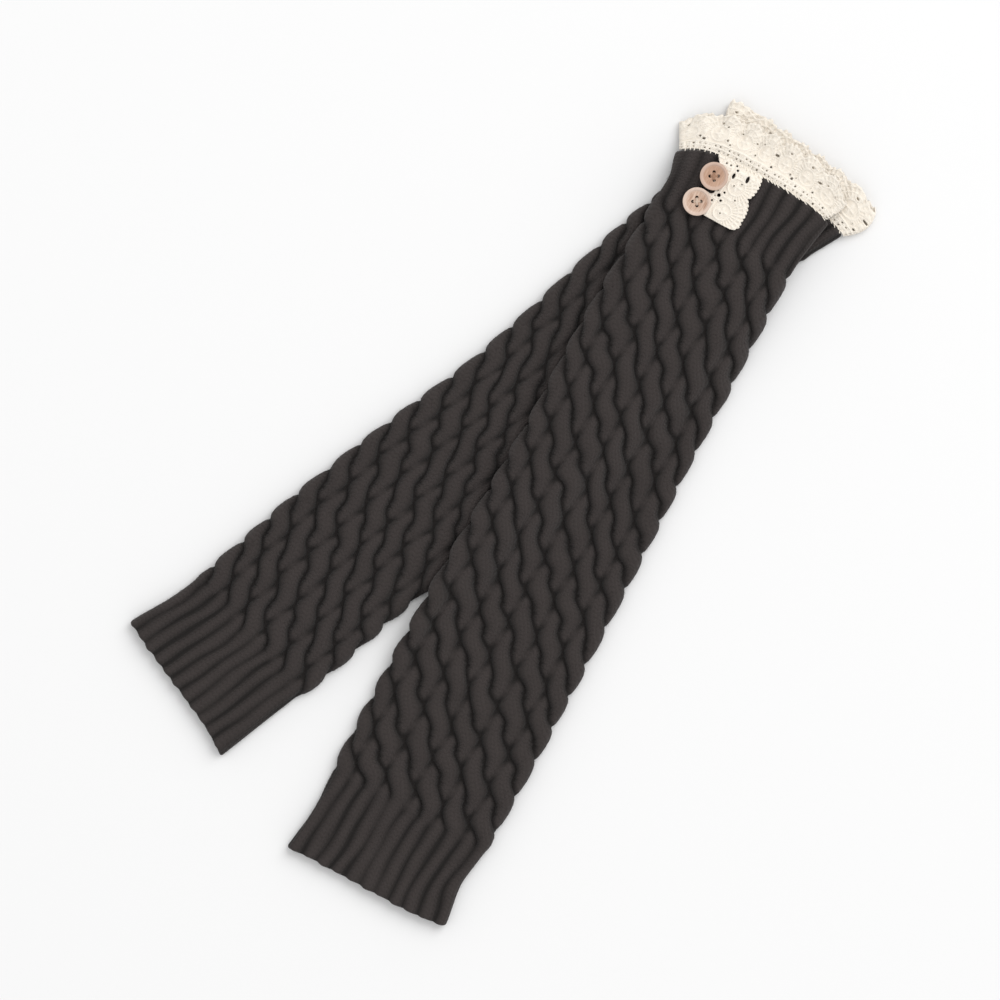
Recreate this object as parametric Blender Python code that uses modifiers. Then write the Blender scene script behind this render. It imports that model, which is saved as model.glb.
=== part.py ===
"""Pair of cable-knit leg warmers with crochet lace tops and two wooden buttons, laid out flat.

Metres, +Z up. The upper leg's length runs along +Y, from its ribbed hem to its lace top. The lower leg lies
under it, turned clockwise, flat on the surface. The origin is the middle of the pair's footprint, on the
surface that it lies on.

Each leg is one knitted tube: an outer skin raised into ribs and rope cables, and a plain inner skin, parted
by the wall's thickness. Both skins are sets of long columns of points, and each pair of neighbouring columns
is joined by a strip of triangles, so a column may have fewer points where the cloth is plain.
"""

import math
from collections import namedtuple

import bmesh
import bpy
from mathutils import Matrix, Vector

# The pair's footprint: what moves its middle to the origin.
PAIR_MIDDLE = (-0.05559, 0.22980)

# The knitted tubes, laid flat.
UPPER_LENGTH = 0.4270
LOWER_LENGTH = 0.4155
BACK_WALL = 0.0028
SLIT = 0.0005
FRONT_VALLEY_WALL = 0.0020
CABLE_RELIEF = 0.0030
RIB_RELIEF = 0.0014
FOLD_WALL = 0.0026
EDGE_ROUNDING = 0.0009
EDGE_ROUNDING_LENGTH = 0.0014
SILHOUETTE_RELIEF = 0.0003
VALLEY_HEIGHT = BACK_WALL + SLIT + FRONT_VALLEY_WALL
FOLD_RADIUS = VALLEY_HEIGHT / 2

# The cable pattern: rope cables of two strands, side by side round the tube, all crossing in the same rows.
CABLES_ROUND = 11
CROSSING_LENGTH = 0.0205
CROSSING_ROWS = 17
HEM_RIB_LENGTH = 0.04505
CABLE_END = HEM_RIB_LENGTH + CROSSING_ROWS * CROSSING_LENGTH
STRAND_SWING = 0.27
STRAND_HALF_WIDTH = 0.29
STRAND_RISE = 0.58
RIB_BLEND = 0.004

# How finely the tubes are cut: where a cable's and a pair of ribs' columns of points lie, in cables, and how
# many cables the raised front has on each side of its middle.
CABLE_POINTS = (0.0, 0.17, 0.34, 0.5, 0.66, 0.83)
RIB_POINTS = (0.0, 0.11, 0.39, 0.5, 0.61, 0.89)
FRONT_CABLES = 3
RINGS_PER_CROSSING = 4
HEM_RIB_RINGS = (0.0120, 0.0230, 0.0340)
TOP_RIB_RINGS = (0.75, 0.48, 0.21)
INNER_LOOP_SHARE = 0.2425

# The lace trim, gathered along each tube's top edge.
LACE_WIDTH = 0.0250
LACE_WALL = 0.0010
LACE_WAVES = 7
LACE_COLUMNS = 72
LACE_FOLD_COLUMNS = 3
LACE_RINGS = 5
LACE_SEAM = 0.0005
LACE_FOOT_LIFT = 0.0009
LACE_FOOT_GAP = 0.0026
LACE_TIP_GAP = 0.0030
LACE_SIDE_INSET = 0.0030
LACE_SCALLOP = 0.055

# The short lace tab that hangs down the upper leg's front, and the two buttons on its inner edge.
TAB_LEFT = -0.0193
TAB_RIGHT = 0.0052
TAB_LOW = 0.3962
TAB_HIGH = 0.4296
TAB_CLEARANCE = 0.0003
TAB_WALL = 0.0010
TAB_CORNER = 0.0045
TAB_SCALLOP_PITCH = 0.0150
TAB_SCALLOP_DEPTH = 0.0026
TAB_COLUMNS = 8
TAB_ROWS = 14
TAB_BEND_LENGTH = 0.0050
TAB_BEND_DROP = 0.0016
TAB_PUFF = 0.0004
BUTTON_DIAMETER = 0.0150
BUTTON_THICKNESS = 0.0026
BUTTON_RIM = 0.0014
BUTTON_DISH = 0.0007
BUTTON_HOLE_DIAMETER = 0.0017
BUTTON_HOLE_SPACING = 0.0031
BUTTON_SEGMENTS = 24
HOLE_SEGMENTS = 8
BUTTON_CLEARANCE = 0.0003
BUTTON_HOLE_TURN = math.radians(29)
BUTTON_PLACES = (("upper_button", 0.4172, -0.0195), ("lower_button", 0.4011, -0.0207))

# The lower leg's place on the surface, and the height that the upper leg keeps over it.
LOWER_HEM_PLACE = (-0.1481, 0.0481)
LOWER_TURN = math.radians(-21.32)
COVER_OVER_KNIT = 0.0088
COVER_OVER_LACE = 0.0062
COVER_STEP_LENGTH = 0.0090
COVER_EDGE = 0.0010
COVER_RAMP = 0.0260
COVER_LACE_FLARE = 0.0090

# A leg's outline, a row for each section: how far it is from the hem, how far its left and right folds are
# from the leg's line, and how many degrees the section is turned to the left.
Section = namedtuple("Section", "along left right turn")
UPPER_SECTIONS = (
    Section(0.000, 0.0477, 0.0450, 0.0),
    Section(0.024, 0.0440, 0.0412, 0.0),
    Section(0.050, 0.0462, 0.0438, 0.0),
    Section(0.156, 0.0477, 0.0445, 0.0),
    Section(0.262, 0.0445, 0.0413, 0.0),
    Section(0.315, 0.0455, 0.0403, 0.0),
    Section(0.390, 0.0440, 0.0386, 0.0),
    Section(0.427, 0.0458, 0.0419, 0.0),
)
LOWER_SECTIONS = (
    Section(0.0000, 0.0323, 0.0519, -3.0),
    Section(0.0340, 0.0275, 0.0530, -1.5),
    Section(0.0600, 0.0270, 0.0548, 0.0),
    Section(0.1130, 0.0276, 0.0540, 0.0),
    Section(0.1660, 0.0262, 0.0535, 0.0),
    Section(0.2190, 0.0226, 0.0530, 0.0),
    Section(0.2620, 0.0226, 0.0523, 0.0),
    Section(0.3250, 0.0254, 0.0505, 1.0),
    Section(0.3600, 0.0272, 0.0490, 5.0),
    Section(0.4155, 0.0262, 0.0505, 14.5),
)

# How each leg's cut edges droop at the folds, how its cables are set round it, and how its lace fans out.
LegForm = namedtuple(
    "LegForm",
    "name length sections hem_place turn top_drop_left top_drop_right hem_lift_left hem_lift_right "
    "cable_shift_hem cable_shift_top under_columns inner_columns lace_height_left "
    "lace_height_right lace_fan_left lace_fan_right lace_wave lace_phase",
)
UPPER_LEG = LegForm(
    name="upper_leg", length=UPPER_LENGTH, sections=UPPER_SECTIONS, hem_place=(0.0, 0.0), turn=0.0,
    top_drop_left=0.0095, top_drop_right=0.0037, hem_lift_left=-0.0008, hem_lift_right=0.0030,
    cable_shift_hem=-0.0036, cable_shift_top=0.0008, under_columns=10, inner_columns=12,
    lace_height_left=0.66, lace_height_right=0.62,
    lace_fan_left=math.radians(28), lace_fan_right=math.radians(34), lace_wave=0.0022, lace_phase=0.6,
)
LOWER_LEG = LegForm(
    name="lower_leg", length=LOWER_LENGTH, sections=LOWER_SECTIONS, hem_place=LOWER_HEM_PLACE,
    turn=LOWER_TURN, top_drop_left=0.0005, top_drop_right=0.0045, hem_lift_left=0.0010,
    hem_lift_right=-0.0020, cable_shift_hem=0.0020, cable_shift_top=0.0020, under_columns=4,
    inner_columns=4, lace_height_left=1.0, lace_height_right=0.86,
    lace_fan_left=math.radians(29), lace_fan_right=math.radians(42), lace_wave=0.0016, lace_phase=2.2,
)
EDGE_DROOP_LENGTH = 0.033
EDGE_DROOP_POWER = 4


def smooth_step(value):
    """0 below 0, 1 above 1, and a soft rise between them."""
    value = min(max(value, 0.0), 1.0)
    return value * value * (3 - 2 * value)


def read_sections(sections, column, along):
    """One column of a leg's table at a place along the leg, on a smooth curve through the rows."""
    rows = [(row.along, getattr(row, column)) for row in sections]
    if along <= rows[0][0]:
        return rows[0][1]
    if along >= rows[-1][0]:
        return rows[-1][1]
    place = max(k for k in range(len(rows) - 1) if rows[k][0] <= along)

    def slope(k):
        low, high = max(k - 1, 0), min(k + 1, len(rows) - 1)
        return (rows[high][1] - rows[low][1]) / (rows[high][0] - rows[low][0])

    (start, value), (end, next_value) = rows[place], rows[place + 1]
    span = end - start
    t = (along - start) / span
    return (
        (2 * t**3 - 3 * t**2 + 1) * value
        + (t**3 - 2 * t**2 + t) * span * slope(place)
        + (3 * t**2 - 2 * t**3) * next_value
        + (t**3 - t**2) * span * slope(place + 1)
    )


class Leg:
    """A leg warmer laid flat: where each place along and across it lies on the surface."""

    def __init__(self, form):
        self.form = form
        self.line = (math.sin(-form.turn), math.cos(form.turn))
        self.side = (math.cos(form.turn), math.sin(form.turn))

    def half_width(self, along):
        """From the middle of the section to a fold, less the relief that stands out there."""
        left = read_sections(self.form.sections, "left", along)
        right = read_sections(self.form.sections, "right", along)
        return (left + right) / 2 - SILHOUETTE_RELIEF

    def middle(self, along):
        """How far the section's middle lies to the right of the leg's line."""
        left = read_sections(self.form.sections, "left", along)
        right = read_sections(self.form.sections, "right", along)
        return (right - left) / 2

    def turn(self, along):
        return math.radians(read_sections(self.form.sections, "turn", along))

    def droop(self, along, across):
        """How far the cut edges draw back at the folds."""
        form = self.form
        share = min(abs(across) / self.half_width(along), 1.1) ** EDGE_DROOP_POWER
        near_top = smooth_step(1 - (form.length - along) / EDGE_DROOP_LENGTH)
        near_hem = smooth_step(1 - along / EDGE_DROOP_LENGTH)
        drop = form.top_drop_left if across < 0 else form.top_drop_right
        lift = form.hem_lift_left if across < 0 else form.hem_lift_right
        return share * (lift * near_hem - drop * near_top)

    def place(self, along, across):
        """The point on the surface under a place along the leg and across it, from its own middle."""
        turn = self.turn(along)
        forward = along + self.droop(along, across) + math.sin(turn) * across
        sideways = self.middle(along) + math.cos(turn) * across
        x = self.form.hem_place[0] + self.line[0] * forward + self.side[0] * sideways
        y = self.form.hem_place[1] + self.line[1] * forward + self.side[1] * sideways
        return x, y

    def read_place(self, x, y):
        """The place along and across the leg, past its top too, of a point on the surface."""
        dx, dy = x - self.form.hem_place[0], y - self.form.hem_place[1]
        forward = dx * self.line[0] + dy * self.line[1]
        sideways = dx * self.side[0] + dy * self.side[1]
        along = forward
        for _ in range(4):
            turn = self.turn(along)
            across = (sideways - self.middle(along)) / math.cos(turn)
            along = forward - math.sin(turn) * across
        return along, across

    def quarter_round(self, along):
        """From the middle of the front, round the skin, to the outermost point of the fold."""
        return self.half_width(along) - FOLD_RADIUS + FOLD_RADIUS * math.pi / 2

    def cable_pitch(self, along):
        return 4 * self.quarter_round(along) / CABLES_ROUND

    def cable_shift(self, along):
        share = along / self.form.length
        return self.form.cable_shift_hem * (1 - share) + self.form.cable_shift_top * share

    def skin(self, along, round_place, outward):
        """The point (across, height) of the outer skin, at a distance round it from the front's middle."""
        flat = self.half_width(along) - FOLD_RADIUS
        sign = -1.0 if round_place < 0 else 1.0
        distance = abs(round_place)
        if distance <= flat:
            return round_place, VALLEY_HEIGHT + outward
        angle = (distance - flat) / FOLD_RADIUS
        if angle < math.pi:
            outward *= 1 - smooth_step((angle - math.pi / 2) / (0.3 * math.pi))
            reach = FOLD_RADIUS + outward
            return sign * (flat + reach * math.sin(angle)), FOLD_RADIUS + reach * math.cos(angle)
        return sign * (flat - (distance - flat - math.pi * FOLD_RADIUS)), 0.0


def strand_height(column, row):
    """The rope cables' relief, 0 to 1, at a place in cables round the leg and in crossings along it."""
    column -= math.floor(column)
    best = 0.0
    for strand in (0, 1):
        swing = math.pi * (row - 0.5 - strand)
        aside = abs(column - (0.5 - STRAND_SWING * math.sin(swing))) / STRAND_HALF_WIDTH
        if aside < 1:
            best = max(best, STRAND_RISE * math.cos(swing) + (1 - STRAND_RISE) * math.sqrt(1 - aside**2))
    return best


def rib_height(column):
    """The ribs' relief, 0 to 1: two round ribs to a cable, with narrow grooves between them."""
    return abs(math.sin(2 * math.pi * column)) ** 0.4


def knit_relief(along, column, length):
    """How far the knit stands out over its valleys."""
    cable = CABLE_RELIEF * strand_height(column, (along - HEM_RIB_LENGTH) / CROSSING_LENGTH)
    rib = RIB_RELIEF * rib_height(column)
    cabled = smooth_step((along - HEM_RIB_LENGTH + RIB_BLEND) / (2 * RIB_BLEND))
    cabled *= smooth_step((CABLE_END + RIB_BLEND - along) / (2 * RIB_BLEND))
    relief = rib + (cable - rib) * cabled
    from_edge = min(along, length - along)
    return relief - EDGE_ROUNDING * (1 - smooth_step(from_edge / EDGE_ROUNDING_LENGTH))


lower_leg = Leg(LOWER_LEG)
upper_leg = Leg(UPPER_LEG)


def cover_height(x, y):
    """How high the upper leg's underside lies at a point on the surface: over the lower leg, down a soft
    slope beside it, and on the surface elsewhere."""
    along, across = lower_leg.read_place(x, y)
    past_top = along - LOWER_LENGTH
    half = lower_leg.half_width(along) + SILHOUETTE_RELIEF
    half += COVER_LACE_FLARE * smooth_step(past_top / LACE_WIDTH)
    height = COVER_OVER_KNIT
    height -= (COVER_OVER_KNIT - COVER_OVER_LACE) * smooth_step(past_top / COVER_STEP_LENGTH)
    beside = (abs(across) - half - COVER_EDGE) / COVER_RAMP
    beyond = (past_top - LACE_WIDTH - COVER_EDGE) / COVER_RAMP
    return height * (1 - smooth_step(beside)) * (1 - smooth_step(beyond))


def no_cover(x, y):
    return 0.0


class SkinMesh:
    """Points and triangles, gathered until the mesh is made."""

    def __init__(self):
        self.points = []
        self.faces = []

    def add(self, point):
        self.points.append(point)
        return len(self.points) - 1

    def strip(self, first, second, turned=False):
        """Joins two columns, each a list of (place, point number), by a strip of triangles."""
        i = j = 0
        while i < len(first) - 1 or j < len(second) - 1:
            at_end = j == len(second) - 1
            if i < len(first) - 1 and (at_end or first[i + 1][0] <= second[j + 1][0] + 1e-9):
                face = (first[i][1], second[j][1], first[i + 1][1])
                i += 1
            else:
                face = (first[i][1], second[j][1], second[j + 1][1])
                j += 1
            self.faces.append(face[::-1] if turned else face)

    def make(self, name, collection, material):
        mesh = bpy.data.meshes.new(name)
        mesh.from_pydata(self.points, [], self.faces)
        mesh.materials.append(material)
        return add_object(name, mesh, collection)


def add_object(name, mesh, collection):
    mesh.shade_smooth()
    mesh.set_sharp_from_angle(angle=math.radians(60))
    piece = bpy.data.objects.new(name, mesh)
    collection.objects.link(piece)
    return piece


def at_pair(x, y, z):
    """A point of the layout, measured from the pair's middle."""
    return x - PAIR_MIDDLE[0], y - PAIR_MIDDLE[1], z


def close_loop(loop, whole=1):
    """A loop of (place round it, point number), with its first point again at the end."""
    place, point = loop[0]
    return loop + [(place + whole, point)]


def tube_rings(length):
    """The rings of points of the hem rib, the cables and the top rib, each ring as (distance from the hem,
    kind): kind 0 is on the raised front alone, 1 on the underside too, and 2 on the inner skin as well."""
    hem_rib = [(0.0, 2), (EDGE_ROUNDING_LENGTH, 1)]
    hem_rib += [(ring, 2 if k == 1 else 1) for k, ring in enumerate(HEM_RIB_RINGS)]
    cables = []
    for k in range(CROSSING_ROWS * RINGS_PER_CROSSING + 1):
        kind = 2 if k % RINGS_PER_CROSSING == 0 else 1 if k % 2 == 0 else 0
        cables.append((HEM_RIB_LENGTH + k * CROSSING_LENGTH / RINGS_PER_CROSSING, kind))
    top_rib = [
        (length - share * (length - CABLE_END), 2 if k == 1 else 1) for k, share in enumerate(TOP_RIB_RINGS)
    ]
    return hem_rib, cables, top_rib + [(length - EDGE_ROUNDING_LENGTH, 1), (length, 2)]


def front_patch(leg, rings, points, add):
    """The raised columns of one stretch, from under the left fold to under the right one."""
    columns = []
    cables = [whole + point for whole in range(-FRONT_CABLES, FRONT_CABLES) for point in points]
    for cable in cables + [FRONT_CABLES]:
        column = []
        for along, _ in rings:
            round_place = leg.cable_shift(along) + cable * leg.cable_pitch(along)
            relief = knit_relief(along, cable, leg.form.length)
            column.append((along, add(along, *leg.skin(along, round_place, relief))))
        columns.append((cable / CABLES_ROUND, column))
    return columns


def under_columns(leg, rings, add):
    """The plain columns of the flat underside, from the right fold to the left one."""
    columns = []
    edge_share = FRONT_CABLES / CABLES_ROUND
    for k in range(1, leg.form.under_columns + 1):
        share = edge_share + k / (leg.form.under_columns + 1) * (1 - 2 * edge_share)
        column = []
        for along, kind in rings:
            if kind >= 1:
                whole = 4 * leg.quarter_round(along)
                round_place = leg.cable_shift(along) + share * whole
                if round_place > whole / 2:
                    round_place -= whole
                across, height = leg.skin(along, round_place, 0.0)
                if along in (0.0, leg.form.length):
                    height += EDGE_ROUNDING
                column.append((along, add(along, across, height)))
        columns.append((share, column))
    return columns


def inner_columns(leg, rings, add):
    """The inner skin's columns: left to right under the front wall, and back over the back wall."""
    columns = []
    last = leg.form.inner_columns - 1
    for height, sign in ((BACK_WALL + SLIT, 1), (BACK_WALL, -1)):
        for k in range(last + 1):
            place = sign * (2 * k / last - 1)
            column = []
            for along, kind in rings:
                if kind == 2:
                    column.append((along, add(along, place * (leg.half_width(along) - FOLD_WALL), height)))
            share = INNER_LOOP_SHARE * place
            columns.append((share if sign > 0 else 0.5 - share, column))
    return columns


def ring_of(columns, end):
    """The first (0) or last (-1) ring of a set of columns, as (share round it, point number)."""
    return [(share, column[end][1]) for share, column in columns]


def make_knit_tube(leg, cover, collection, material):
    """A leg's tube: ribs and cables raised on its front and folds, over a plain flat back and inside."""
    skin = SkinMesh()
    stretches = tube_rings(leg.form.length)
    rings = sum(stretches, [])

    def add(along, across, height):
        x, y = leg.place(along, across)
        return skin.add(at_pair(x, y, height + cover(x, y)))

    points = (RIB_POINTS, CABLE_POINTS, RIB_POINTS)
    patches = [front_patch(leg, stretch, spots, add) for stretch, spots in zip(stretches, points)]
    for patch in patches:
        for (_, column), (_, following) in zip(patch, patch[1:]):
            skin.strip(column, following)
    for patch, following in zip(patches, patches[1:]):
        skin.strip(ring_of(patch, -1), ring_of(following, 0), turned=True)

    under = under_columns(leg, rings, add)
    left_edge, right_edge = (sum((patch[side][1] for patch in patches), []) for side in (0, -1))
    flat = [right_edge] + [column for _, column in under] + [left_edge]
    for column, following in zip(flat, flat[1:]):
        skin.strip(column, following)
    inner = inner_columns(leg, rings, add)
    for k, (_, column) in enumerate(inner):
        skin.strip(column, inner[(k + 1) % len(inner)][1], turned=True)
    for end, turned in ((0, False), (-1, True)):
        outer_loop = ring_of(patches[end] + under, end)
        skin.strip(close_loop(outer_loop), close_loop(ring_of(inner, end)), turned)
    return skin.make(leg.form.name + "_knit_tube", collection, material)


def lace_length(form, place):
    """The lace's width at a place from -1, the left fold, to 1, the right fold."""
    at_fold = form.lace_height_left if place < 0 else form.lace_height_right
    length = LACE_WIDTH * (1 - (1 - at_fold) * min(abs(place), 1) ** 4)
    return length * (1 + LACE_SCALLOP * math.cos(lace_phase(form, place)))


def lace_phase(form, place):
    """Where in its waves the ruffle is. The waves are uneven, and the same on its front and back."""
    return math.pi * LACE_WAVES * place + form.lace_phase + 0.9 * math.sin(2.3 * place + form.lace_phase)


def lace_middle(leg, cover, place, angle, share):
    """A point in the middle of the lace's wall: place from fold to fold, angle 0 on the front and pi on the
    back, and share 0 at its foot and 1 at its scalloped edge."""
    form = leg.form
    gap = LACE_FOOT_GAP + (LACE_TIP_GAP - LACE_FOOT_GAP) * share
    reach = leg.half_width(form.length) - LACE_SIDE_INSET
    across = place * reach + gap / 2 * math.sin(angle)
    x, y = leg.place(form.length, across)
    fan = abs(place) ** 3 * (-form.lace_fan_left if place < 0 else form.lace_fan_right)
    heading = form.turn + leg.turn(form.length) - fan
    forward = LACE_SEAM + share * lace_length(form, place)
    x -= math.sin(heading) * forward
    y += math.cos(heading) * forward
    wave = form.lace_wave * share * (0.5 + 0.5 * math.cos(lace_phase(form, place)))
    height = LACE_WALL / 2 + LACE_FOOT_LIFT * (1 - share) ** 2 + gap / 2 + wave
    return Vector(at_pair(x, y, height + gap / 2 * math.cos(angle) + cover(x, y)))


def lace_loop():
    """(place from fold to fold, angle) of each column round the lace, and its share of the way round."""
    flat = LACE_COLUMNS // 2 - LACE_FOLD_COLUMNS
    loop = [(2 * k / (flat - 1) - 1, 0.0) for k in range(flat)]
    turns = [math.pi * k / (LACE_FOLD_COLUMNS + 1) for k in range(1, LACE_FOLD_COLUMNS + 1)]
    loop += [(1.0, turn) for turn in turns]
    loop += [(-place, math.pi) for place, _ in loop[:flat]]
    return loop + [(-1.0, math.pi + turn) for turn in turns]


def make_lace_ruffle(leg, cover, collection, material):
    """The lace trim round a leg's top edge: a thin wall in two layers, waved more towards its free edge."""
    skin = SkinMesh()
    loop = lace_loop()
    shares = [k / LACE_RINGS for k in range(LACE_RINGS + 1)]
    middles = [[lace_middle(leg, cover, *column, share) for share in shares] for column in loop]
    walls = ([], [])
    for k, column in enumerate(middles):
        following, previous = middles[(k + 1) % len(middles)], middles[k - 1]
        for wall, side in zip(walls, (0.5, -0.5)):
            points = []
            for r, share in enumerate(shares):
                outward = column[min(r + 1, LACE_RINGS)] - column[max(r - 1, 0)]
                normal = (following[r] - previous[r]).cross(outward).normalized()
                points.append((share, skin.add(column[r] + side * LACE_WALL * normal)))
            wall.append(points)
    for wall, turned in zip(walls, (False, True)):
        for k, column in enumerate(wall):
            skin.strip(column, wall[(k + 1) % len(wall)], turned)
    for end, turned in ((0, False), (-1, True)):
        outer_loop, inner_loop = ([(k, column[end][1]) for k, column in enumerate(wall)] for wall in walls)
        skin.strip(close_loop(outer_loop, len(loop)), close_loop(inner_loop, len(loop)), turned)
    return skin.make(leg.form.name + "_lace_ruffle", collection, material)


def tab_right_edge(along):
    """The tab's scalloped edge, and its rounded lower corner."""
    from_low = along - TAB_LOW
    edge = TAB_RIGHT - TAB_SCALLOP_DEPTH * (1 - abs(math.sin(math.pi * from_low / TAB_SCALLOP_PITCH)) ** 0.5)
    if from_low < TAB_CORNER:
        edge -= TAB_CORNER - math.sqrt(TAB_CORNER**2 - (TAB_CORNER - from_low) ** 2)
        edge += TAB_SCALLOP_DEPTH * (1 - from_low / TAB_CORNER)
    return edge


def make_lace_tab(leg, cover, collection, material):
    """The short length of the same lace that lies on the upper leg's top rib, under the buttons."""
    skin = SkinMesh()
    alongs = [TAB_LOW + (TAB_HIGH - TAB_LOW) * row / (TAB_ROWS - 1) for row in range(TAB_ROWS)]

    def column_at(share, wall):
        column = []
        for along in alongs:
            bend = smooth_step((along - TAB_HIGH + TAB_BEND_LENGTH) / TAB_BEND_LENGTH)
            height = VALLEY_HEIGHT + RIB_RELIEF + TAB_CLEARANCE + wall - TAB_BEND_DROP * bend
            if wall:
                height += TAB_PUFF * math.sin(math.pi * share) ** 2
            x, y = leg.place(min(along, UPPER_LENGTH), TAB_LEFT + share * (tab_right_edge(along) - TAB_LEFT))
            y += max(along - UPPER_LENGTH, 0.0)
            column.append((along, skin.add(at_pair(x, y, height + cover(x, y)))))
        return column

    shares = [k / (TAB_COLUMNS - 1) for k in range(TAB_COLUMNS)]
    top = [column_at(share, TAB_WALL) for share in shares]
    bottom = [column_at(share, 0.0) for share in shares]
    loop = top + bottom[::-1]
    for k, column in enumerate(loop):
        skin.strip(column, loop[(k + 1) % len(loop)])
    for end, turned in ((0, False), (-1, True)):
        edges = [[(share, column[end][1]) for share, column in zip(shares, side)] for side in (top, bottom)]
        skin.strip(*edges, turned)
    return skin.make(leg.form.name + "_lace_tab", collection, material)


def make_button(name, along, across, collection, cutters, material):
    """A turned wooden button with a raised rim, a dished middle and four holes, lying on the tab."""
    radius = BUTTON_DIAMETER / 2
    top = BUTTON_THICKNESS
    round_edge = 0.3 * top
    profile = (
        (0.0, top - BUTTON_DISH), (radius - BUTTON_RIM - BUTTON_DISH, top - BUTTON_DISH),
        (radius - BUTTON_RIM, top - 0.1 * BUTTON_DISH), (radius - BUTTON_RIM / 2, top),
        (radius, top - round_edge), (radius, round_edge), (radius - round_edge, 0.0), (0.0, 0.0),
    )
    mesh = bpy.data.meshes.new(name)
    edges = [(k, k + 1) for k in range(len(profile) - 1)]
    mesh.from_pydata([(r, 0.0, z) for r, z in profile], edges, [])
    mesh.materials.append(material)
    button = bpy.data.objects.new(name, mesh)
    collection.objects.link(button)
    turned = button.modifiers.new("Turned", "SCREW")
    turned.steps = turned.render_steps = BUTTON_SEGMENTS
    turned.use_merge_vertices = True
    turned.merge_threshold = 0.00001

    holes = bmesh.new()
    for k in range(4):
        angle = BUTTON_HOLE_TURN + k * math.pi / 2
        reach = BUTTON_HOLE_SPACING / math.sqrt(2)
        middle = Vector((-math.sin(angle) * reach, math.cos(angle) * reach, top / 2))
        bmesh.ops.create_cone(
            holes, cap_ends=True, segments=HOLE_SEGMENTS, radius1=BUTTON_HOLE_DIAMETER / 2,
            radius2=BUTTON_HOLE_DIAMETER / 2, depth=2 * top, matrix=Matrix.Translation(middle),
        )
    cutter_mesh = bpy.data.meshes.new(name + "_holes")
    holes.to_mesh(cutter_mesh)
    holes.free()
    cutter = bpy.data.objects.new(name + "_holes", cutter_mesh)
    cutter.hide_render = True
    cutter.display_type = "WIRE"
    cutters.objects.link(cutter)
    cut = button.modifiers.new("Holes", "BOOLEAN")
    cut.object = cutter

    x, y = upper_leg.place(along, across)
    height = VALLEY_HEIGHT + RIB_RELIEF + TAB_CLEARANCE + TAB_WALL + TAB_PUFF + BUTTON_CLEARANCE
    button.location = cutter.location = at_pair(x, y, height + cover_height(x, y))
    return button


def make_material(name, colour, roughness):
    material = bpy.data.materials.new(name)
    material.use_nodes = True
    shader = material.node_tree.nodes["Principled BSDF"]
    shader.inputs["Base Color"].default_value = (*colour, 1.0)
    shader.inputs["Roughness"].default_value = roughness
    shader.inputs["Metallic"].default_value = 0.0
    return material


def make_collection(name):
    collection = bpy.data.collections.new(name)
    bpy.context.scene.collection.children.link(collection)
    return collection


def main():
    for piece in list(bpy.data.objects):
        bpy.data.objects.remove(piece, do_unlink=True)
    pair = make_collection("Leg warmers")
    cutters = make_collection("Cutters")
    knit = make_material("Charcoal knit", (0.047, 0.041, 0.040), 0.9)
    lace = make_material("Cream cotton lace", (0.78, 0.70, 0.58), 0.85)
    wood = make_material("Pale wood", (0.42, 0.22, 0.13), 0.55)

    make_knit_tube(lower_leg, no_cover, pair, knit)
    make_lace_ruffle(lower_leg, no_cover, pair, lace)
    make_knit_tube(upper_leg, cover_height, pair, knit)
    make_lace_ruffle(upper_leg, cover_height, pair, lace)
    make_lace_tab(upper_leg, cover_height, pair, lace)
    for name, along, across in BUTTON_PLACES:
        make_button(name, along, across, pair, cutters, wood)


main()
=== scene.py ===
"""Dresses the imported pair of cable-knit leg warmers: two knitted tubes with their stitches and fuzz, crochet
lace round their tops, a hanging lace tab and two turned wooden buttons, laid out flat on a pale floor."""

import math
from collections import namedtuple

import bpy
import numpy as np
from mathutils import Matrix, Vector


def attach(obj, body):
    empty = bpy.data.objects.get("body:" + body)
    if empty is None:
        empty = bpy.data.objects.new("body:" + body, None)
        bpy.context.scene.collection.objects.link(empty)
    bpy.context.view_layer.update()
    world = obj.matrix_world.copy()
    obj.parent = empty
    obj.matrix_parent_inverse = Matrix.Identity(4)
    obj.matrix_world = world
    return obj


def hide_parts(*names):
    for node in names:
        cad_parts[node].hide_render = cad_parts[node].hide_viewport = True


bl_info = {
    "name": "Cable-knit leg warmers",
    "version": (1, 0, 0),
    "blender": (4, 5, 0),
    "location": "3D View > Sidebar > Leg warmers",
    "description": "Knits, trims and buttons a pair of leg warmers laid out flat",
    "category": "Object",
}

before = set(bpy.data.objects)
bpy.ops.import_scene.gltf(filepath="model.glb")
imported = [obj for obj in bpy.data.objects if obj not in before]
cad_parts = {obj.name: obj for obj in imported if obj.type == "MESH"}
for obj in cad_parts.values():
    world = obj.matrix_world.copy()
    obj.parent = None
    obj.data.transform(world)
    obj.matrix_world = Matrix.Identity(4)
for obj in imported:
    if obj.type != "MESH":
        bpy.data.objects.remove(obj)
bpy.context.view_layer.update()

# The layout's own sizes, within 2 mm of the solids': the footprint's middle, and the tubes laid flat.
PAIR_MIDDLE = (-0.05559, 0.22980)
UPPER_LENGTH = 0.4287
LOWER_LENGTH = 0.4155
BACK_WALL = 0.0028
SLIT = 0.0005
FRONT_VALLEY_WALL = 0.0020
FOLD_WALL = 0.0026
SILHOUETTE_RELIEF = 0.0003
VALLEY_HEIGHT = BACK_WALL + SLIT + FRONT_VALLEY_WALL
FOLD_RADIUS = VALLEY_HEIGHT / 2

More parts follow.
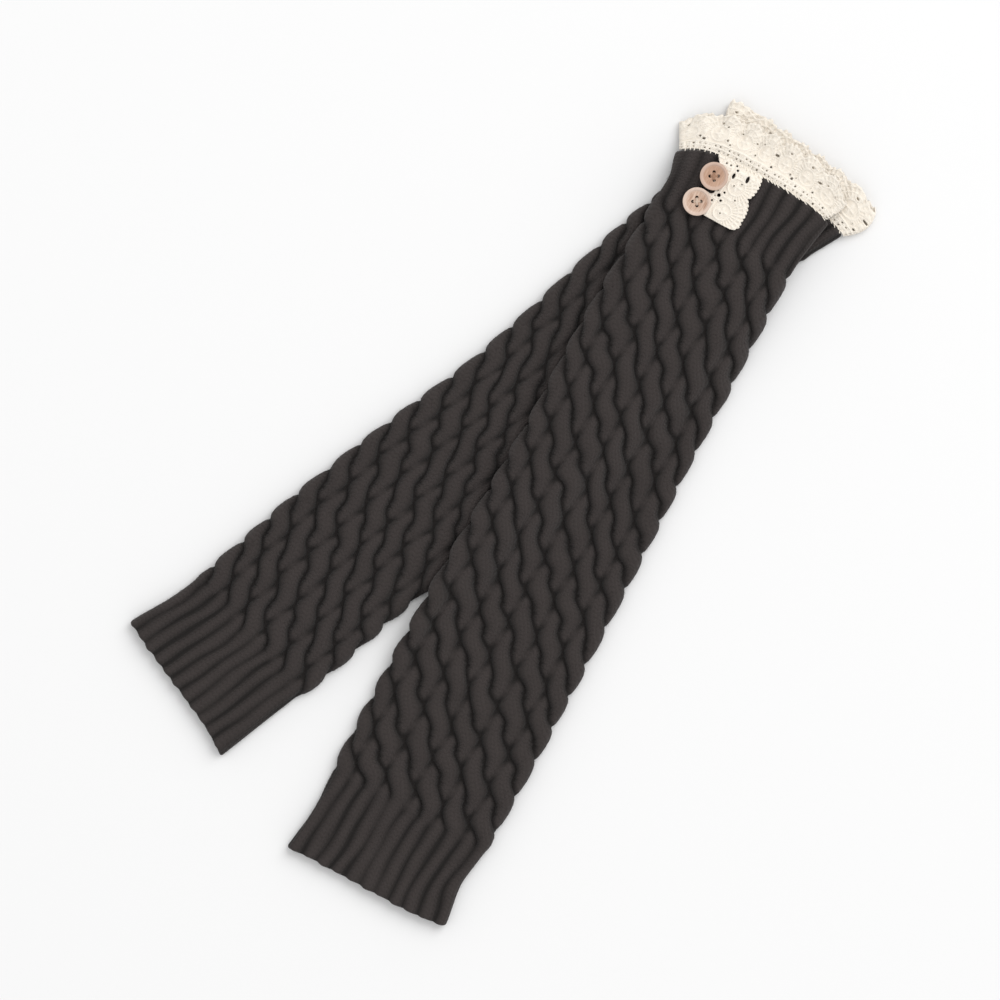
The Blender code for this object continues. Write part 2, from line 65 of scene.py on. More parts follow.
# The knit: rope cables of two strands side by side round the tube, between ribbed ends.
CABLES_ROUND = 11
FRONT_CABLES = 3
QUARTER = CABLES_ROUND / 4
CROSSING_LENGTH = 0.0205
CROSSING_ROWS = 17
HEM_RIB_LENGTH = 0.04505
CABLE_END = HEM_RIB_LENGTH + CROSSING_ROWS * CROSSING_LENGTH
STRAND_SWING = 0.28
STRAND_HALF_WIDTH = 0.27
CROSSING_SPREAD = 0.19
STRAND_FULLNESS = 2.5
STRAND_EDGE = 0.95
CREASE_WIDTH = 0.24
BRIDGE_WIDTH = 0.13
BRIDGE_HEIGHT = 0.54
BRIDGE_TONE = 0.80
BRIDGE_ROUNDING = 1.5
UNDER_STRAND_SHADE = 0.12
LEAST_STRAND_HEIGHT = 0.02
CREASE_DIP = 0.0009
MOST_RELIEF = 0.0034
RIB_BLEND = 0.004
RIB_GROOVE = 0.94
RIB_GROOVE_LIMITS = (0.35, 1.15)
RIB_ROUNDING = 0.98
WALES_PER_STRAND = 3
STITCH_LENGTH = CROSSING_LENGTH / 9
STRAND_ROW_SHARE = 1.1
STITCH_ROUNDING = 0.6
STITCH_JOIN = 0.45
FULL_STITCH_LEVEL = 0.4
INSIDE_LEVEL = 0.5

# How far the knit strays from its plan, by hand.
RAGGED_RIBS = 0.0022
RAGGED_TOP = 1.5
COLUMN_DRIFT = 0.06
FINE_COLUMN_DRIFT = 0.03
ROW_DRIFT = 0.13
RIB_GROOVE_DRIFT = 0.5
CABLE_DRIFT = 0.08
SOFT_UNEVENNESS = 0.00025

# How finely the knit is cut.
STEPS_PER_CABLE = 24
BACK_COLUMNS = 9
RING_STEP = STITCH_LENGTH / 3
INNER_RINGS = 30
EDGE_RINGS = (0.0, 0.0002, 0.0005, 0.0009, 0.0014)
FOLD_SMOOTHING = 0.25
HEM_REACH = 0.0016
HEM_RIB_PUSH = 0.0008
HEM_RIB_MEAN = 0.75
HEM_RIB_DRIFT = 0.6
HEM_PUSH_LENGTH = 0.0060

# The loose fibres. Each has three rings of points along it and a tip.
FUZZ_AT_FOLDS = 0.45
FUZZ_FOLD_COLUMNS = (2.35, 2.9)
FUZZ_FRONT_COLUMNS = (-2.6, 2.6)
FUZZ_END_GAP = 0.002
FUZZ_LENGTHS = (0.4, 1.1)
FUZZ_RISES = (0.35, 1.0)
FUZZ_CURLS = (-0.5, 0.5)
FUZZ_LEAN = 0.7
FUZZ_DROOP = 0.35
FUZZ_LOWEST = 0.0001
FUZZ_RINGS = ((-0.15, 0.000040), (0.35, 0.000034), (0.7, 0.000022))
FUZZ_SIDES = 3
FUZZ_UV_SCALE = 100
PROBE_STEP = 0.0003
PROBE_CABLE = 0.016

Section = namedtuple("Section", "along left right turn")
UPPER_SECTIONS = [Section(*row) for row in (
    (0.000, 0.0480, 0.0455, 0.0), (0.024, 0.0451, 0.0423, 0.0), (0.050, 0.0458, 0.0452, 0.0),
    (0.156, 0.0468, 0.0441, 0.0), (0.262, 0.0443, 0.0406, 0.0), (0.315, 0.0453, 0.0394, 0.0),
    (0.390, 0.0424, 0.0380, 0.0), (0.412, 0.0420, 0.0400, 0.0), (0.4287, 0.0452, 0.0424, 0.0),
)]
LOWER_SECTIONS = [Section(*row) for row in (
    (0.0000, 0.0323, 0.0519, -3.0), (0.0340, 0.0275, 0.0530, -1.5), (0.0600, 0.0277, 0.0548, 0.0),
    (0.1130, 0.0283, 0.0540, 0.0), (0.1660, 0.0271, 0.0533, 0.0), (0.2190, 0.0238, 0.0530, 0.0),
    (0.2620, 0.0241, 0.0523, 0.0), (0.3250, 0.0276, 0.0502, 1.0), (0.3600, 0.0280, 0.0470, 5.0),
    (0.3870, 0.0270, 0.0470, 9.8), (0.4155, 0.0262, 0.0516, 14.5),
)]
# What differs from leg to leg. A pair is for the left and right side, and the cables' shift for hem and top.
LegForm = namedtuple(
    "LegForm",
    "name length sections hem_place turn top_drop hem_lift cable_shift drift_seed lace_scale lace_height "
    "lace_fan lace_curl lace_reach lace_wave lace_phase lace_repeats",
)
UPPER_LEG = LegForm(
    name="upper_leg", length=UPPER_LENGTH, sections=UPPER_SECTIONS, hem_place=(0.0, 0.0), turn=0.0,
    top_drop=(0.0088, 0.0037), hem_lift=(-0.0008, 0.0030), cable_shift=(-0.0036, 0.0008), drift_seed=1.0,
    lace_scale=0.94, lace_height=(0.70, 0.66), lace_fan=(math.radians(28), math.radians(34)),
    lace_curl=(0.0, 0.35), lace_reach=(0.0010, 0.0), lace_wave=0.0030, lace_phase=0.6, lace_repeats=7,
)
LOWER_LEG = LegForm(
    name="lower_leg", length=LOWER_LENGTH, sections=LOWER_SECTIONS, hem_place=(-0.1481, 0.0481),
    turn=math.radians(-21.32), top_drop=(0.0005, 0.0030), hem_lift=(0.0010, -0.0030),
    cable_shift=(0.0020, 0.0020), drift_seed=4.0, lace_scale=0.98, lace_height=(1.03, 0.94),
    lace_fan=(math.radians(45), math.radians(47)), lace_curl=(0.38, 0.72), lace_reach=(0.0010, 0.0026),
    lace_wave=0.0018, lace_phase=2.2, lace_repeats=6,
)
EDGE_DROOP_LENGTH = 0.033
EDGE_DROOP_POWER = 4
MOST_DROOP = 1.1
FOLD_FADE = 0.3 * math.pi

# The height that the upper leg keeps over the lower one.
COVER_OVER_KNIT = 0.0088
COVER_OVER_LACE = 0.0062
COVER_STEP_LENGTH = 0.0090
COVER_EDGE = 0.0010
COVER_RAMP = 0.0260
COVER_LACE_FLARE = 0.0090

# The UVs of lace and cords count millimetres.
MILLIMETRES = 1000

# The lace, gathered along each tube's top edge.
LACE_WIDTH = 0.0250
LACE_WAVES = 7
LACE_WAVE_DRIFT = 0.9
LACE_WAVE_TURNS = 2.3
LACE_SCALLOP = 0.032
LACE_WALL = 0.0010
LACE_SEAM = 0.0003
LACE_FOOT_LIFT = 0.0009
LACE_FOOT_GAP = 0.0026
LACE_TIP_GAP = 0.0030
LACE_SIDE_INSET = 0.0030
LACE_REPEAT = 0.0150
LACE_START = 0.37
LACE_GATHER = 1.12
LACE_MEAN_WIDTH = 0.96
LACE_ROUNDING = 0.00032
LACE_LUMPS = 0.0010
LACE_BACK_STEP = 1.35
LACE_BACK_FLATTENING = 0.7
LACE_EDGE_LEVEL = 0.35
LACE_EDGE_LIMITS = (0.1, 0.9)
FIRST_ROW_CUT = 0.4
FAN_MIDDLE = 0.0124
FAN_RADIUS = 0.0123
FAN_FLATTENING = 0.85
FAN_RIBS = 28
FAN_ARCS = (0.0046, 0.0082, 0.0111)
PICOT_DEPTH = 0.0009
PICOTS_ROUND = 26
PICOT_ROUNDING = 0.7
NET_PITCH = 0.0030
NET_ROWS = (0.00200, 0.00450)
NET_HALF_HOLE = 0.00048
NET_DRIFT = 1.1
CORD_ROWS = (0.00050, 0.00320, 0.00590)
CORD_WIDTH = 0.00042
BAR_WIDTH = 0.00045
RIM_WIDTH = 0.00032
RIM_INSET = 0.00040
RIM_LEVEL = 0.8
FAN_RIB_LEVEL = 0.75
FAN_ARC_LEVEL = 0.8
LEAF_LEVEL = 0.9
LEAF_EDGE = 0.0004
HOLE_CLOSING = 0.0006
HOLE_DRIFT = 1.4
# Where the net stops and the fans' ribs and arcs begin, and over what length each does.
NET_END = (0.0058, 0.0008)
FAN_ARC_START = (0.0064, 0.0010)
FAN_RIB_START = (0.0034, 0.0016)
FAN_RIB_LOWEST = (0.0095, 0.0030)
Oval = namedtuple("Oval", "along up half_length half_height")
LACE_HOLES = [Oval(*row) for row in (
    (0.0, 0.0076, 0.0008, 0.00072), (0.0022, 0.0089, 0.00048, 0.00048), (-0.0021, 0.0092, 0.00055, 0.00055),
    (0.0, 0.0154, 0.0015, 0.00065), (0.0075, 0.019, 0.0006, 0.0006), (0.0045, 0.0169, 0.00042, 0.00042),
    (0.0105, 0.0169, 0.00042, 0.00042),
)]
LACE_LEAVES = [Oval(*row) for row in (
    (0.0075, 0.0101, 0.0006, 0.0012), (0.0075, 0.014, 0.00065, 0.0013), (0.006, 0.0121, 0.0011, 0.0006),
    (0.009, 0.0121, 0.0011, 0.0006), (0.0, 0.012, 0.0009, 0.0018), (0.0, 0.0182, 0.0008, 0.0014),
)]
TAB_HOLES = [Oval(*row) for row in (
    (0.014, 0.0013, 0.0019, 0.002), (0.0133, 0.0062, 0.00095, 0.00095), (0.0159, 0.0081, 0.00055, 0.00055),
    (0.0112, 0.0085, 0.00065, 0.00065), (0.0259, 0.0083, 0.0015, 0.00075), (0.0294, 0.009, 0.0006, 0.0006),
    (0.0314, 0.0076, 0.0005, 0.0005), (0.0276, 0.0158, 0.0019, 0.00085), (0.0214, 0.0108, 0.00035, 0.00035),
    (0.024, 0.0142, 0.00035, 0.00035), (0.0148, 0.015, 0.00038, 0.00038), (0.0052, 0.0118, 0.00035, 0.00035),
)]

# The tab and the buttons.
TAB_LEFT = -0.0200
TAB_RIGHT = 0.0047
TAB_LOW = 0.3962
TAB_HIGH = 0.4296
TAB_SCALLOP_DEPTH = 0.0036
TAB_SCALLOP_PITCH = 0.0186
TAB_SCALLOP_ROUNDING = 0.5
TAB_PICOT_PITCH = 0.0021
TAB_PICOT_MEAN = 0.7
TAB_TAPER = 0.055
TAB_CORNER = 0.0062
TAB_TOP_REACH = 0.0038
TAB_TOP_LENGTH = 0.0080
TAB_PATTERN_START = 0.0012
TAB_BEND_LENGTH = 0.0050
TAB_BEND_DROP = 0.0016
TAB_PUFF = 0.0003
TAB_STEP = 0.85
TAB_REST = VALLEY_HEIGHT + 0.0021
BUTTON_REST = VALLEY_HEIGHT + 0.0034
BUTTON_PLACES = (("upper_button", 0.4174, -0.0209), ("lower_button", 0.4009, -0.0218))
BUTTON_RIM = 0.0013
BUTTON_STEP = 0.0005
BUTTON_SLOPE = 0.0018
BUTTON_DISH = 0.0006
BUTTON_SIDES = 64
FACING_UP = 0.9
BUTTON_EDGE = 0.00028
BUTTON_EDGE_STEPS = 3
BUTTON_EDGE_ANGLE = math.radians(28)
BUTTON_SMOOTH_ANGLE = math.radians(40)
BUTTON_HOLE_SIDES = 20
BUTTON_HOLE_RADIUS = 0.00085
BUTTON_HOLE_REACH = 0.0022
BUTTON_HOLE_TURN = math.radians(29)
THREAD_POINTS = 11
THREAD_RADIUS = 0.00022
THREAD_SPACING = 0.00026
THREAD_REACH = 0.97
THREAD_BEND = 0.72
THREAD_DROP = 0.0016
WOOD_RIM = (0.0052, 0.0060)
WOOD_TINTS = ((1.0, 1.0, 1.0), (1.22, 1.42, 1.58))

# The sewing along the lace's foot.
SEWING_PITCH = 0.0023
SEWING_RADIUS = 0.00026
SEWING_ON_LACE = 0.03
SEWING_ON_KNIT = 0.0001
SEWING_ON_RIBS = 0.0011
SEWING_INSET = 0.985
SEWING_DEPTH_DRIFT = 0.0004
SEWING_POINTS = 8
SEWING_RISE = 0.0009
SEWING_ROUNDING = 0.7
SEWING_SINK = 0.0003
SEWING_SLANT = 0.0017
SEWING_SLANT_DRIFT = 0.0006

# How a cord's rings are turned, and its rounded ends, in radii.
CORD_UPWARD = (0.13, 0.21, 0.97)
CORD_TIP_LENGTH = 0.6
CORD_TIP_WIDTH = 0.45

# The stage: a view straight down on the pair, over this width of floor, and a soft light.
FLOOR_SIZE = 12.0
FLOOR_GAP = 0.0001
VIEW_MIDDLE = (0.01750, -0.01729)
VIEW_WIDTH = 0.530
VIEW_TURN = math.radians(28.95)
CAMERA_HEIGHT = 6.0
SENSOR = 36.0
LIGHT_HEADING = (0.28, 0.96)
LIGHT_RISE = 45
LIGHT_DISTANCE = 6.0
LIGHT_SIZE = 5.2
LIGHT_POWER = 195.0
SKY_STRENGTH = 0.89


# Sizes and colours that a user would change.


def length_property(name, description, default):
    return bpy.props.FloatProperty(name=name, description=description, default=default, unit="LENGTH")


def colour_property(name, description, default):
    return bpy.props.FloatVectorProperty(
        name=name, description=description, default=default, subtype="COLOR")


class LegWarmerSizes(bpy.types.PropertyGroup):
    """The sizes of the knit, lace and buttons."""

    cable_relief: length_property("Cable relief", "How far the rope cables stand out", 0.0030)
    strand_rise: bpy.props.FloatProperty(
        name="Strand rise", description="Share of the relief by which a strand dips between crossings",
        default=0.34, subtype="FACTOR")
    rib_relief: length_property("Rib relief", "How far the ribs stand out", 0.0014)
    stitch_relief: length_property("Stitch relief", "How far each knitted stitch stands out", 0.00028)
    fuzz_length: length_property("Fuzz length", "Length of the loose fibres", 0.0017)
    fuzz_count: bpy.props.IntProperty(
        name="Fuzz count", description="Loose fibres on each tube", default=8000)
    lace_wall: length_property("Lace thickness", "Thickness of the lace between its raised cords", 0.0006)
    cord_relief: length_property("Cord relief", "How far the lace's cords and leaves stand out", 0.0007)
    lace_grid: length_property("Lace grid", "How finely the lace is cut", 0.00034)
    button_diameter: length_property("Button diameter", "Diameter of the wooden buttons", 0.0150)
    button_thickness: length_property("Button thickness", "Thickness of the wooden buttons", 0.0026)


class LegWarmerColours(bpy.types.PropertyGroup):
    """The colours of the yarns, the wood and the stage."""

    knit: colour_property("Knit", "Colour of the charcoal yarn", (0.0385, 0.0315, 0.0298))
    # Painted shade: the knit darkens towards this colour in its creases and between stitches; the loose fibres
    # use it for their darker random tone.
    knit_shade_and_dark_yarn: colour_property(
        "Knit shade and dark yarn", "Painted shade deep between the cables, and the loose fibres' darker tone", (0.0108, 0.0088, 0.0081))
    lace: colour_property("Lace", "Colour of the cream cotton", (0.93, 0.87, 0.775))
    # Painted shade: the lace darkens towards this colour between its raised cords and on its underside; the
    # sewing and button threads use it for a darker random tone.
    lace_shade_and_dark_cotton: colour_property("Lace shade and dark cotton", "Painted shade between the cords and on the underside, and the cotton's darker tone", (0.83, 0.75, 0.645))
    wood: colour_property("Wood", "Colour of the buttons' wood", (0.49, 0.31, 0.215))
    wood_grain: colour_property("Wood grain", "Colour of the wood's darker grain", (0.33, 0.17, 0.10))
    floor: colour_property("Floor", "Colour of the pale floor", (0.80, 0.80, 0.80))


def sizes():
    return bpy.context.scene.leg_warmer_sizes


def colours():
    return bpy.context.scene.leg_warmer_colours


# Curves and places along a leg.


def smooth_step(value):
    """0 below 0, 1 above 1, and a soft rise between them."""
    value = np.clip(value, 0.0, 1.0)
    return value * value * (3 - 2 * value)


def by_side(place, pair):
    """The first of a pair left of the middle, and the second right of it."""
    return np.where(place < 0, *pair)


class SmoothCurve:
    """A smooth curve through a table's rows, read at many places at once."""

    def __init__(self, places, values):
        self.places, self.values = np.array(places, float), np.array(values, float)
        count = np.arange(len(places))
        low, high = np.maximum(count - 1, 0), np.minimum(count + 1, len(places) - 1)
        self.slopes = (self.values[high] - self.values[low]) / (self.places[high] - self.places[low])

    def __call__(self, place):
        place = np.clip(place, self.places[0], self.places[-1])
        k = np.clip(np.searchsorted(self.places, place, side="right") - 1, 0, len(self.places) - 2)
        span = self.places[k + 1] - self.places[k]
        t = (place - self.places[k]) / span
        return (
            (2 * t**3 - 3 * t**2 + 1) * self.values[k]
            + (t**3 - 2 * t**2 + t) * span * self.slopes[k]
            + (3 * t**2 - 2 * t**3) * self.values[k + 1]
            + (t**3 - t**2) * span * self.slopes[k + 1]
        )


class Leg:
    """A leg warmer laid flat: where each place along and across it lies on the surface."""

    def __init__(self, form):
        self.form = form
        self.line = (math.sin(-form.turn), math.cos(form.turn))
        self.side = (math.cos(form.turn), math.sin(form.turn))
        along = [row.along for row in form.sections]
        self.left = SmoothCurve(along, [row.left for row in form.sections])
        self.right = SmoothCurve(along, [row.right for row in form.sections])
        self.turned = SmoothCurve(along, [math.radians(row.turn) for row in form.sections])

    def half_width(self, along):
        return (self.left(along) + self.right(along)) / 2 - SILHOUETTE_RELIEF

    def middle(self, along):
        return (self.right(along) - self.left(along)) / 2

    def droop(self, along, across):
        """How far both ends' corners bend away from straight across."""
        share = np.minimum(np.abs(across) / self.half_width(along), MOST_DROOP) ** EDGE_DROOP_POWER
        near_top = smooth_step(1 - (self.form.length - along) / EDGE_DROOP_LENGTH)
        near_hem = smooth_step(1 - along / EDGE_DROOP_LENGTH)
        return share * (by_side(across, self.form.hem_lift) * near_hem
                        - by_side(across, self.form.top_drop) * near_top)

    def place(self, along, across):
        """The point on the surface under a place along the leg and across it, from its own middle."""
        turn = self.turned(along)
        forward = along + self.droop(along, across) + np.sin(turn) * across
        sideways = self.middle(along) + np.cos(turn) * across
        x = self.form.hem_place[0] + self.line[0] * forward + self.side[0] * sideways
        y = self.form.hem_place[1] + self.line[1] * forward + self.side[1] * sideways
        return x, y

    def place_past_hem(self, along, across, further=0.0):
        """The same, with the hem drawn out past the layout's end."""
        reach = HEM_REACH * smooth_step(1 - along / EDGE_DROOP_LENGTH) + further
        x, y = self.place(along, across)
        return x - self.line[0] * reach, y - self.line[1] * reach

    def read_place(self, x, y):
        """The place along and across the leg, past its top too, of points on the surface."""
        dx, dy = x - self.form.hem_place[0], y - self.form.hem_place[1]
        forward = dx * self.line[0] + dy * self.line[1]
        sideways = dx * self.side[0] + dy * self.side[1]
        along = forward
        for _ in range(4):
            turn = self.turned(along)
            across = (sideways - self.middle(along)) / np.cos(turn)
            along = forward - np.sin(turn) * across
        return along, across

    def raised_points(self, x, y, height):
        """Points at a height over what the leg lies on, measured from the pair's middle."""
        ground = cover_height(x, y) if self is upper_leg else np.zeros_like(x)
        return np.stack((x - PAIR_MIDDLE[0], y - PAIR_MIDDLE[1], height + ground), -1)

    def cable_pitch(self, along):
        quarter = self.half_width(along) - FOLD_RADIUS + FOLD_RADIUS * math.pi / 2
        return 4 * quarter / CABLES_ROUND

    def cable_shift(self, along):
        share = along / self.form.length
        at_hem, at_top = self.form.cable_shift
        return at_hem * (1 - share) + at_top * share

    def skin(self, along, round_place, outward, lift):
        """(across, height) of the outer skin, at a distance round it from the front's middle. Outward raises
        its front and folds, and lift its underside."""
        flat = self.half_width(along) - FOLD_RADIUS
        distance = np.abs(round_place)
        angle = np.clip((distance - flat) / FOLD_RADIUS, 0, math.pi)
        reach = FOLD_RADIUS + outward * (1 - smooth_step((angle - math.pi / 2) / FOLD_FADE))
        past = distance - flat - math.pi * FOLD_RADIUS
        across = np.where(past > 0, flat - past, np.where(angle > 0, flat + reach * np.sin(angle), distance))
        height = np.where(past > 0, 0.0, FOLD_RADIUS + reach * np.cos(angle))
        height = height + lift * smooth_step(2 * angle / math.pi - 1)
        return np.where(round_place < 0, -across, across), height


lower_leg = Leg(LOWER_LEG)
upper_leg = Leg(UPPER_LEG)


def cover_height(x, y):
    """How high over a point on the surface the upper leg lies, on the lower one."""
    along, across = lower_leg.read_place(x, y)
    past_top = along - LOWER_LENGTH
    half = lower_leg.half_width(along) + SILHOUETTE_RELIEF
    half = half + COVER_LACE_FLARE * smooth_step(past_top / LACE_WIDTH)
    step_down = smooth_step(past_top / COVER_STEP_LENGTH)
    height = COVER_OVER_KNIT - (COVER_OVER_KNIT - COVER_OVER_LACE) * step_down
    beside = (np.abs(across) - half - COVER_EDGE) / COVER_RAMP
    beyond = (past_top - LACE_WIDTH - COVER_EDGE) / COVER_RAMP
    return height * (1 - smooth_step(beside)) * (1 - smooth_step(beyond))


def drift(x, y, seed):
    """A slow, smooth unevenness from -1 to 1."""
    return (
        np.sin(1.31 * x + 0.72 * y + 1.7 * seed)
        + np.sin(-0.83 * x + 1.57 * y + 2.9 * seed)
        + np.sin(2.17 * x - 1.13 * y + 4.1 * seed)
    ) / 3


# Meshes from arrays of points.


def unit_vectors(vectors):
    return vectors / np.linalg.norm(vectors, axis=-1, keepdims=True)


def mesh_from_arrays(name, points, face_sets, corner_uvs, uv_name):
    """A mesh from points, sets of faces with the same number of sides, and their corners' UVs. The faces are
    turned to point outwards."""
    volume = 0.0
    for faces in face_sets:
        for k in range(1, faces.shape[1] - 1):
            a, b, c = points[faces[:, 0]], points[faces[:, k]], points[faces[:, k + 1]]
            volume += (a * np.cross(b, c)).sum()
    if volume < 0:
        face_sets = [faces[:, ::-1] for faces in face_sets]
        corner_uvs = [uv[:, ::-1] for uv in corner_uvs]
    corners = np.concatenate([faces.ravel() for faces in face_sets])
    sides = np.concatenate([np.full(len(faces), faces.shape[1]) for faces in face_sets])
    mesh = bpy.data.meshes.new(name)
    mesh.vertices.add(len(points))
    mesh.vertices.foreach_set("co", points.ravel())
    mesh.loops.add(len(corners))
    mesh.loops.foreach_set("vertex_index", corners)
    mesh.polygons.add(len(sides))
    mesh.polygons.foreach_set("loop_start", np.concatenate(([0], np.cumsum(sides)[:-1])))
    mesh.update(calc_edges=True)
    layer = mesh.uv_layers.new(name=uv_name)
    layer.data.foreach_set("uv", np.concatenate([uv.ravel() for uv in corner_uvs]).astype(np.float32))
    if mesh.validate():
        raise RuntimeError(name + " has broken faces")
    mesh.shade_smooth()
    return mesh


def set_point_value(mesh, name, values):
    attribute = mesh.attributes.new(name, "FLOAT", "POINT")
    attribute.data.foreach_set("value", np.asarray(values, np.float32).ravel())


def add_piece(name, mesh, material, slot, *stands_for):
    """Puts a finished mesh in the scene, on the pair's body, in place of the solids that it stands for."""
    piece = bpy.data.objects.new(name, mesh)
    bpy.context.scene.collection.objects.link(piece)
    mesh.materials.clear()
    mesh.materials.append(material)
    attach(piece, "root")
    if stands_for:
        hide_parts(*stands_for)
    return piece


def ring_faces(rings, columns, closed):
    """Quads over rings of points that each close on themselves. Where closed is true, so do the rings."""
    r, c = np.meshgrid(np.arange(rings if closed else rings - 1), np.arange(columns), indexing="ij")
    ring, following, beside = r * columns, (r + 1) % rings * columns, (c + 1) % columns
    return np.stack((ring + c, ring + beside, following + beside, following + c), -1).reshape(-1, 4)


# The knit's relief and its stitches.


def strand_path(row, strand):
    """(the turn from its crossing, its middle's column, and its half width) of a strand in one cable. A
    strand is widest where it crosses over the other."""
    turn = np.pi * (row - 0.5 - strand)
    over = np.clip(np.cos(turn), 0, 1)
    return turn, 0.5 - STRAND_SWING * np.sin(turn), STRAND_HALF_WIDTH + CROSSING_SPREAD * over**3


def strand_on_top(column, row):
    """(the strands' height, the number of the one on top, or -1 where neither is, and how far from a crease
    a place is, 0 to 1)."""
    rise = sizes().strand_rise
    readings = []
    for strand in (0, 1):
        turn, middle, half_width = strand_path(row, strand)
        aside = np.abs(column - middle) / half_width
        fullness = np.clip(1 - aside**STRAND_FULLNESS, 0, 1) ** STRAND_EDGE
        readings.append((np.cos(turn), (aside - 1) * half_width, fullness))
    (first_turn, first_edge, first), (second_turn, second_edge, second) = readings
    first_over = first_turn > second_turn
    from_edge = np.where(first_over, first_edge, second_edge)
    clear = smooth_step(from_edge / CREASE_WIDTH)
    under = np.where(first_over, second, first) * (UNDER_STRAND_SHADE + (1 - UNDER_STRAND_SHADE) * clear)
    over = np.where(first_over, first, second)
    over_height = over * (1 - rise + rise * np.abs(first_turn))
    under_height = under * (1 - rise - rise * np.abs(first_turn))
    top = np.where(over_height >= under_height, first_over, ~first_over)
    beside = np.minimum(column, 1 - column) / BRIDGE_WIDTH
    bridge = (0.5 + 0.5 * np.cos(2 * np.pi * row)) ** BRIDGE_ROUNDING * np.exp(-(beside**4))
    height = np.maximum.reduce([over_height, under_height, BRIDGE_HEIGHT * bridge])
    # This fullness becomes the knit's Level, which the knit material paints as shade in the creases; the
    # bridges' knots get BRIDGE_TONE of it.
    fullness = np.maximum(np.where(over_height >= under_height, over, under), BRIDGE_TONE * bridge)
    return height, np.where(height > LEAST_STRAND_HEIGHT, np.where(top, 0, 1), -1), fullness


def stitch_height(wale, row):
    """The relief of knitted stitches, 0 to 1: two slanting legs to a wale, one wale beside another."""
    leg = np.abs(2 * (wale - np.floor(wale)) - 1)
    loop = np.abs(np.sin(np.pi * (row - 0.5 * leg))) ** STITCH_ROUNDING
    return np.sin(np.pi * leg) ** STITCH_ROUNDING * (STITCH_JOIN + (1 - STITCH_JOIN) * loop)


def cabled_share(leg, column, along):
    """0 on the ribs, 1 on the cables, which begin and end a little unevenly."""
    ragged = RAGGED_RIBS * drift(3.1 * np.floor(column), 0.0, leg.form.drift_seed)
    share = smooth_step((along - HEM_RIB_LENGTH + RIB_BLEND + ragged) / (2 * RIB_BLEND))
    return share * smooth_step((CABLE_END + RIB_BLEND - along + RAGGED_TOP * ragged) / (2 * RIB_BLEND))


def uneven_place(leg, column, along):
    """The column and crossing row that a place on the knit has, with a hand-made cloth's unevenness."""
    row = (along - HEM_RIB_LENGTH) / CROSSING_LENGTH
    seed = leg.form.drift_seed
    aside = COLUMN_DRIFT * drift(1.3 * column, 2.3 * row, seed)
    aside = aside + FINE_COLUMN_DRIFT * drift(4.1 * column, 3.7 * row, seed + 5)
    return column + aside, row + ROW_DRIFT * drift(1.7 * column, 0.9 * row, seed + 9)


def stitch_place(leg, column, along, kind, cell):
    """Stitch coordinates, in wales and rows, for one kind of ground in one cable: 0 or 1 a strand, 2 the
    ribs."""
    place, row = uneven_place(leg, column, along)
    pitch = leg.cable_pitch(along)
    strand = np.where(kind == 1, 1, 0)
    turn, middle, half_width = strand_path(row, strand)
    aside = place - cell - middle
    slope = -STRAND_SWING * np.pi * np.cos(turn) * pitch / CROSSING_LENGTH
    strand_wale = (aside / half_width + 1) * WALES_PER_STRAND / 2 + (2 * cell + strand) * WALES_PER_STRAND
    strand_row = (STRAND_ROW_SHARE * along + slope * aside * pitch) / STITCH_LENGTH
    on_ribs = kind == 2
    wale = np.where(on_ribs, 2 * WALES_PER_STRAND * place, strand_wale)
    return wale, np.where(on_ribs, along / STITCH_LENGTH, strand_row)


def knit_reading(leg, column, along):
    """(how far the knit stands out, which ground it is, and how high it is in its relief, 0 to 1)."""
    size, seed = sizes(), leg.form.drift_seed
    place, row = uneven_place(leg, column, along)
    strands, top, fullness = strand_on_top(place - np.floor(place), row)
    groove = RIB_GROOVE + RIB_GROOVE_DRIFT * drift(5.2 * np.round(2 * place), 1.1 * row, seed + 6)
    groove = np.clip(groove, *RIB_GROOVE_LIMITS)
    ribs = 1 - groove * (1 - np.abs(np.sin(2 * np.pi * place)) ** RIB_ROUNDING)
    share = cabled_share(leg, column, along)
    cables = size.cable_relief * strands * (1 + CABLE_DRIFT * drift(2.9 * column, 2.1 * row, 5))
    cables = cables - CREASE_DIP * (1 - strands) ** 4
    relief = size.rib_relief * ribs * (1 - share) + cables * share
    kind = np.where((share > 0.5) & (top >= 0), top, 2)
    wale, stitch_row = stitch_place(leg, column, along, kind, np.floor(place))
    level = ribs * (1 - share) + fullness * share
    stitches = size.stitch_relief * stitch_height(wale, stitch_row)
    relief = relief + stitches * smooth_step(level / FULL_STITCH_LEVEL)
    relief = relief + SOFT_UNEVENNESS * drift(0.9 * column, 0.8 * row, seed + 3)
    return np.minimum(relief, MOST_RELIEF), kind, level


# The knitted tubes.


def knit_rings(length):
    """Distances of the outer skin's rings from the hem, closer together round the cut edges."""
    edge = np.array(EDGE_RINGS)
    steps = round((length - 2 * edge[-1]) / RING_STEP)
    middle = np.linspace(edge[-1], length - edge[-1], steps + 1)
    return np.concatenate((edge[:-1], middle, length - edge[:-1][::-1]))


def knit_columns():
    """The columns' places round the tube, in cables: close together on the front, wide apart underneath."""
    front = np.linspace(-FRONT_CABLES, FRONT_CABLES, 2 * FRONT_CABLES * STEPS_PER_CABLE + 1)
    back = np.linspace(FRONT_CABLES, CABLES_ROUND - FRONT_CABLES, BACK_COLUMNS + 2)
    return np.concatenate((front, back[1:-1]))


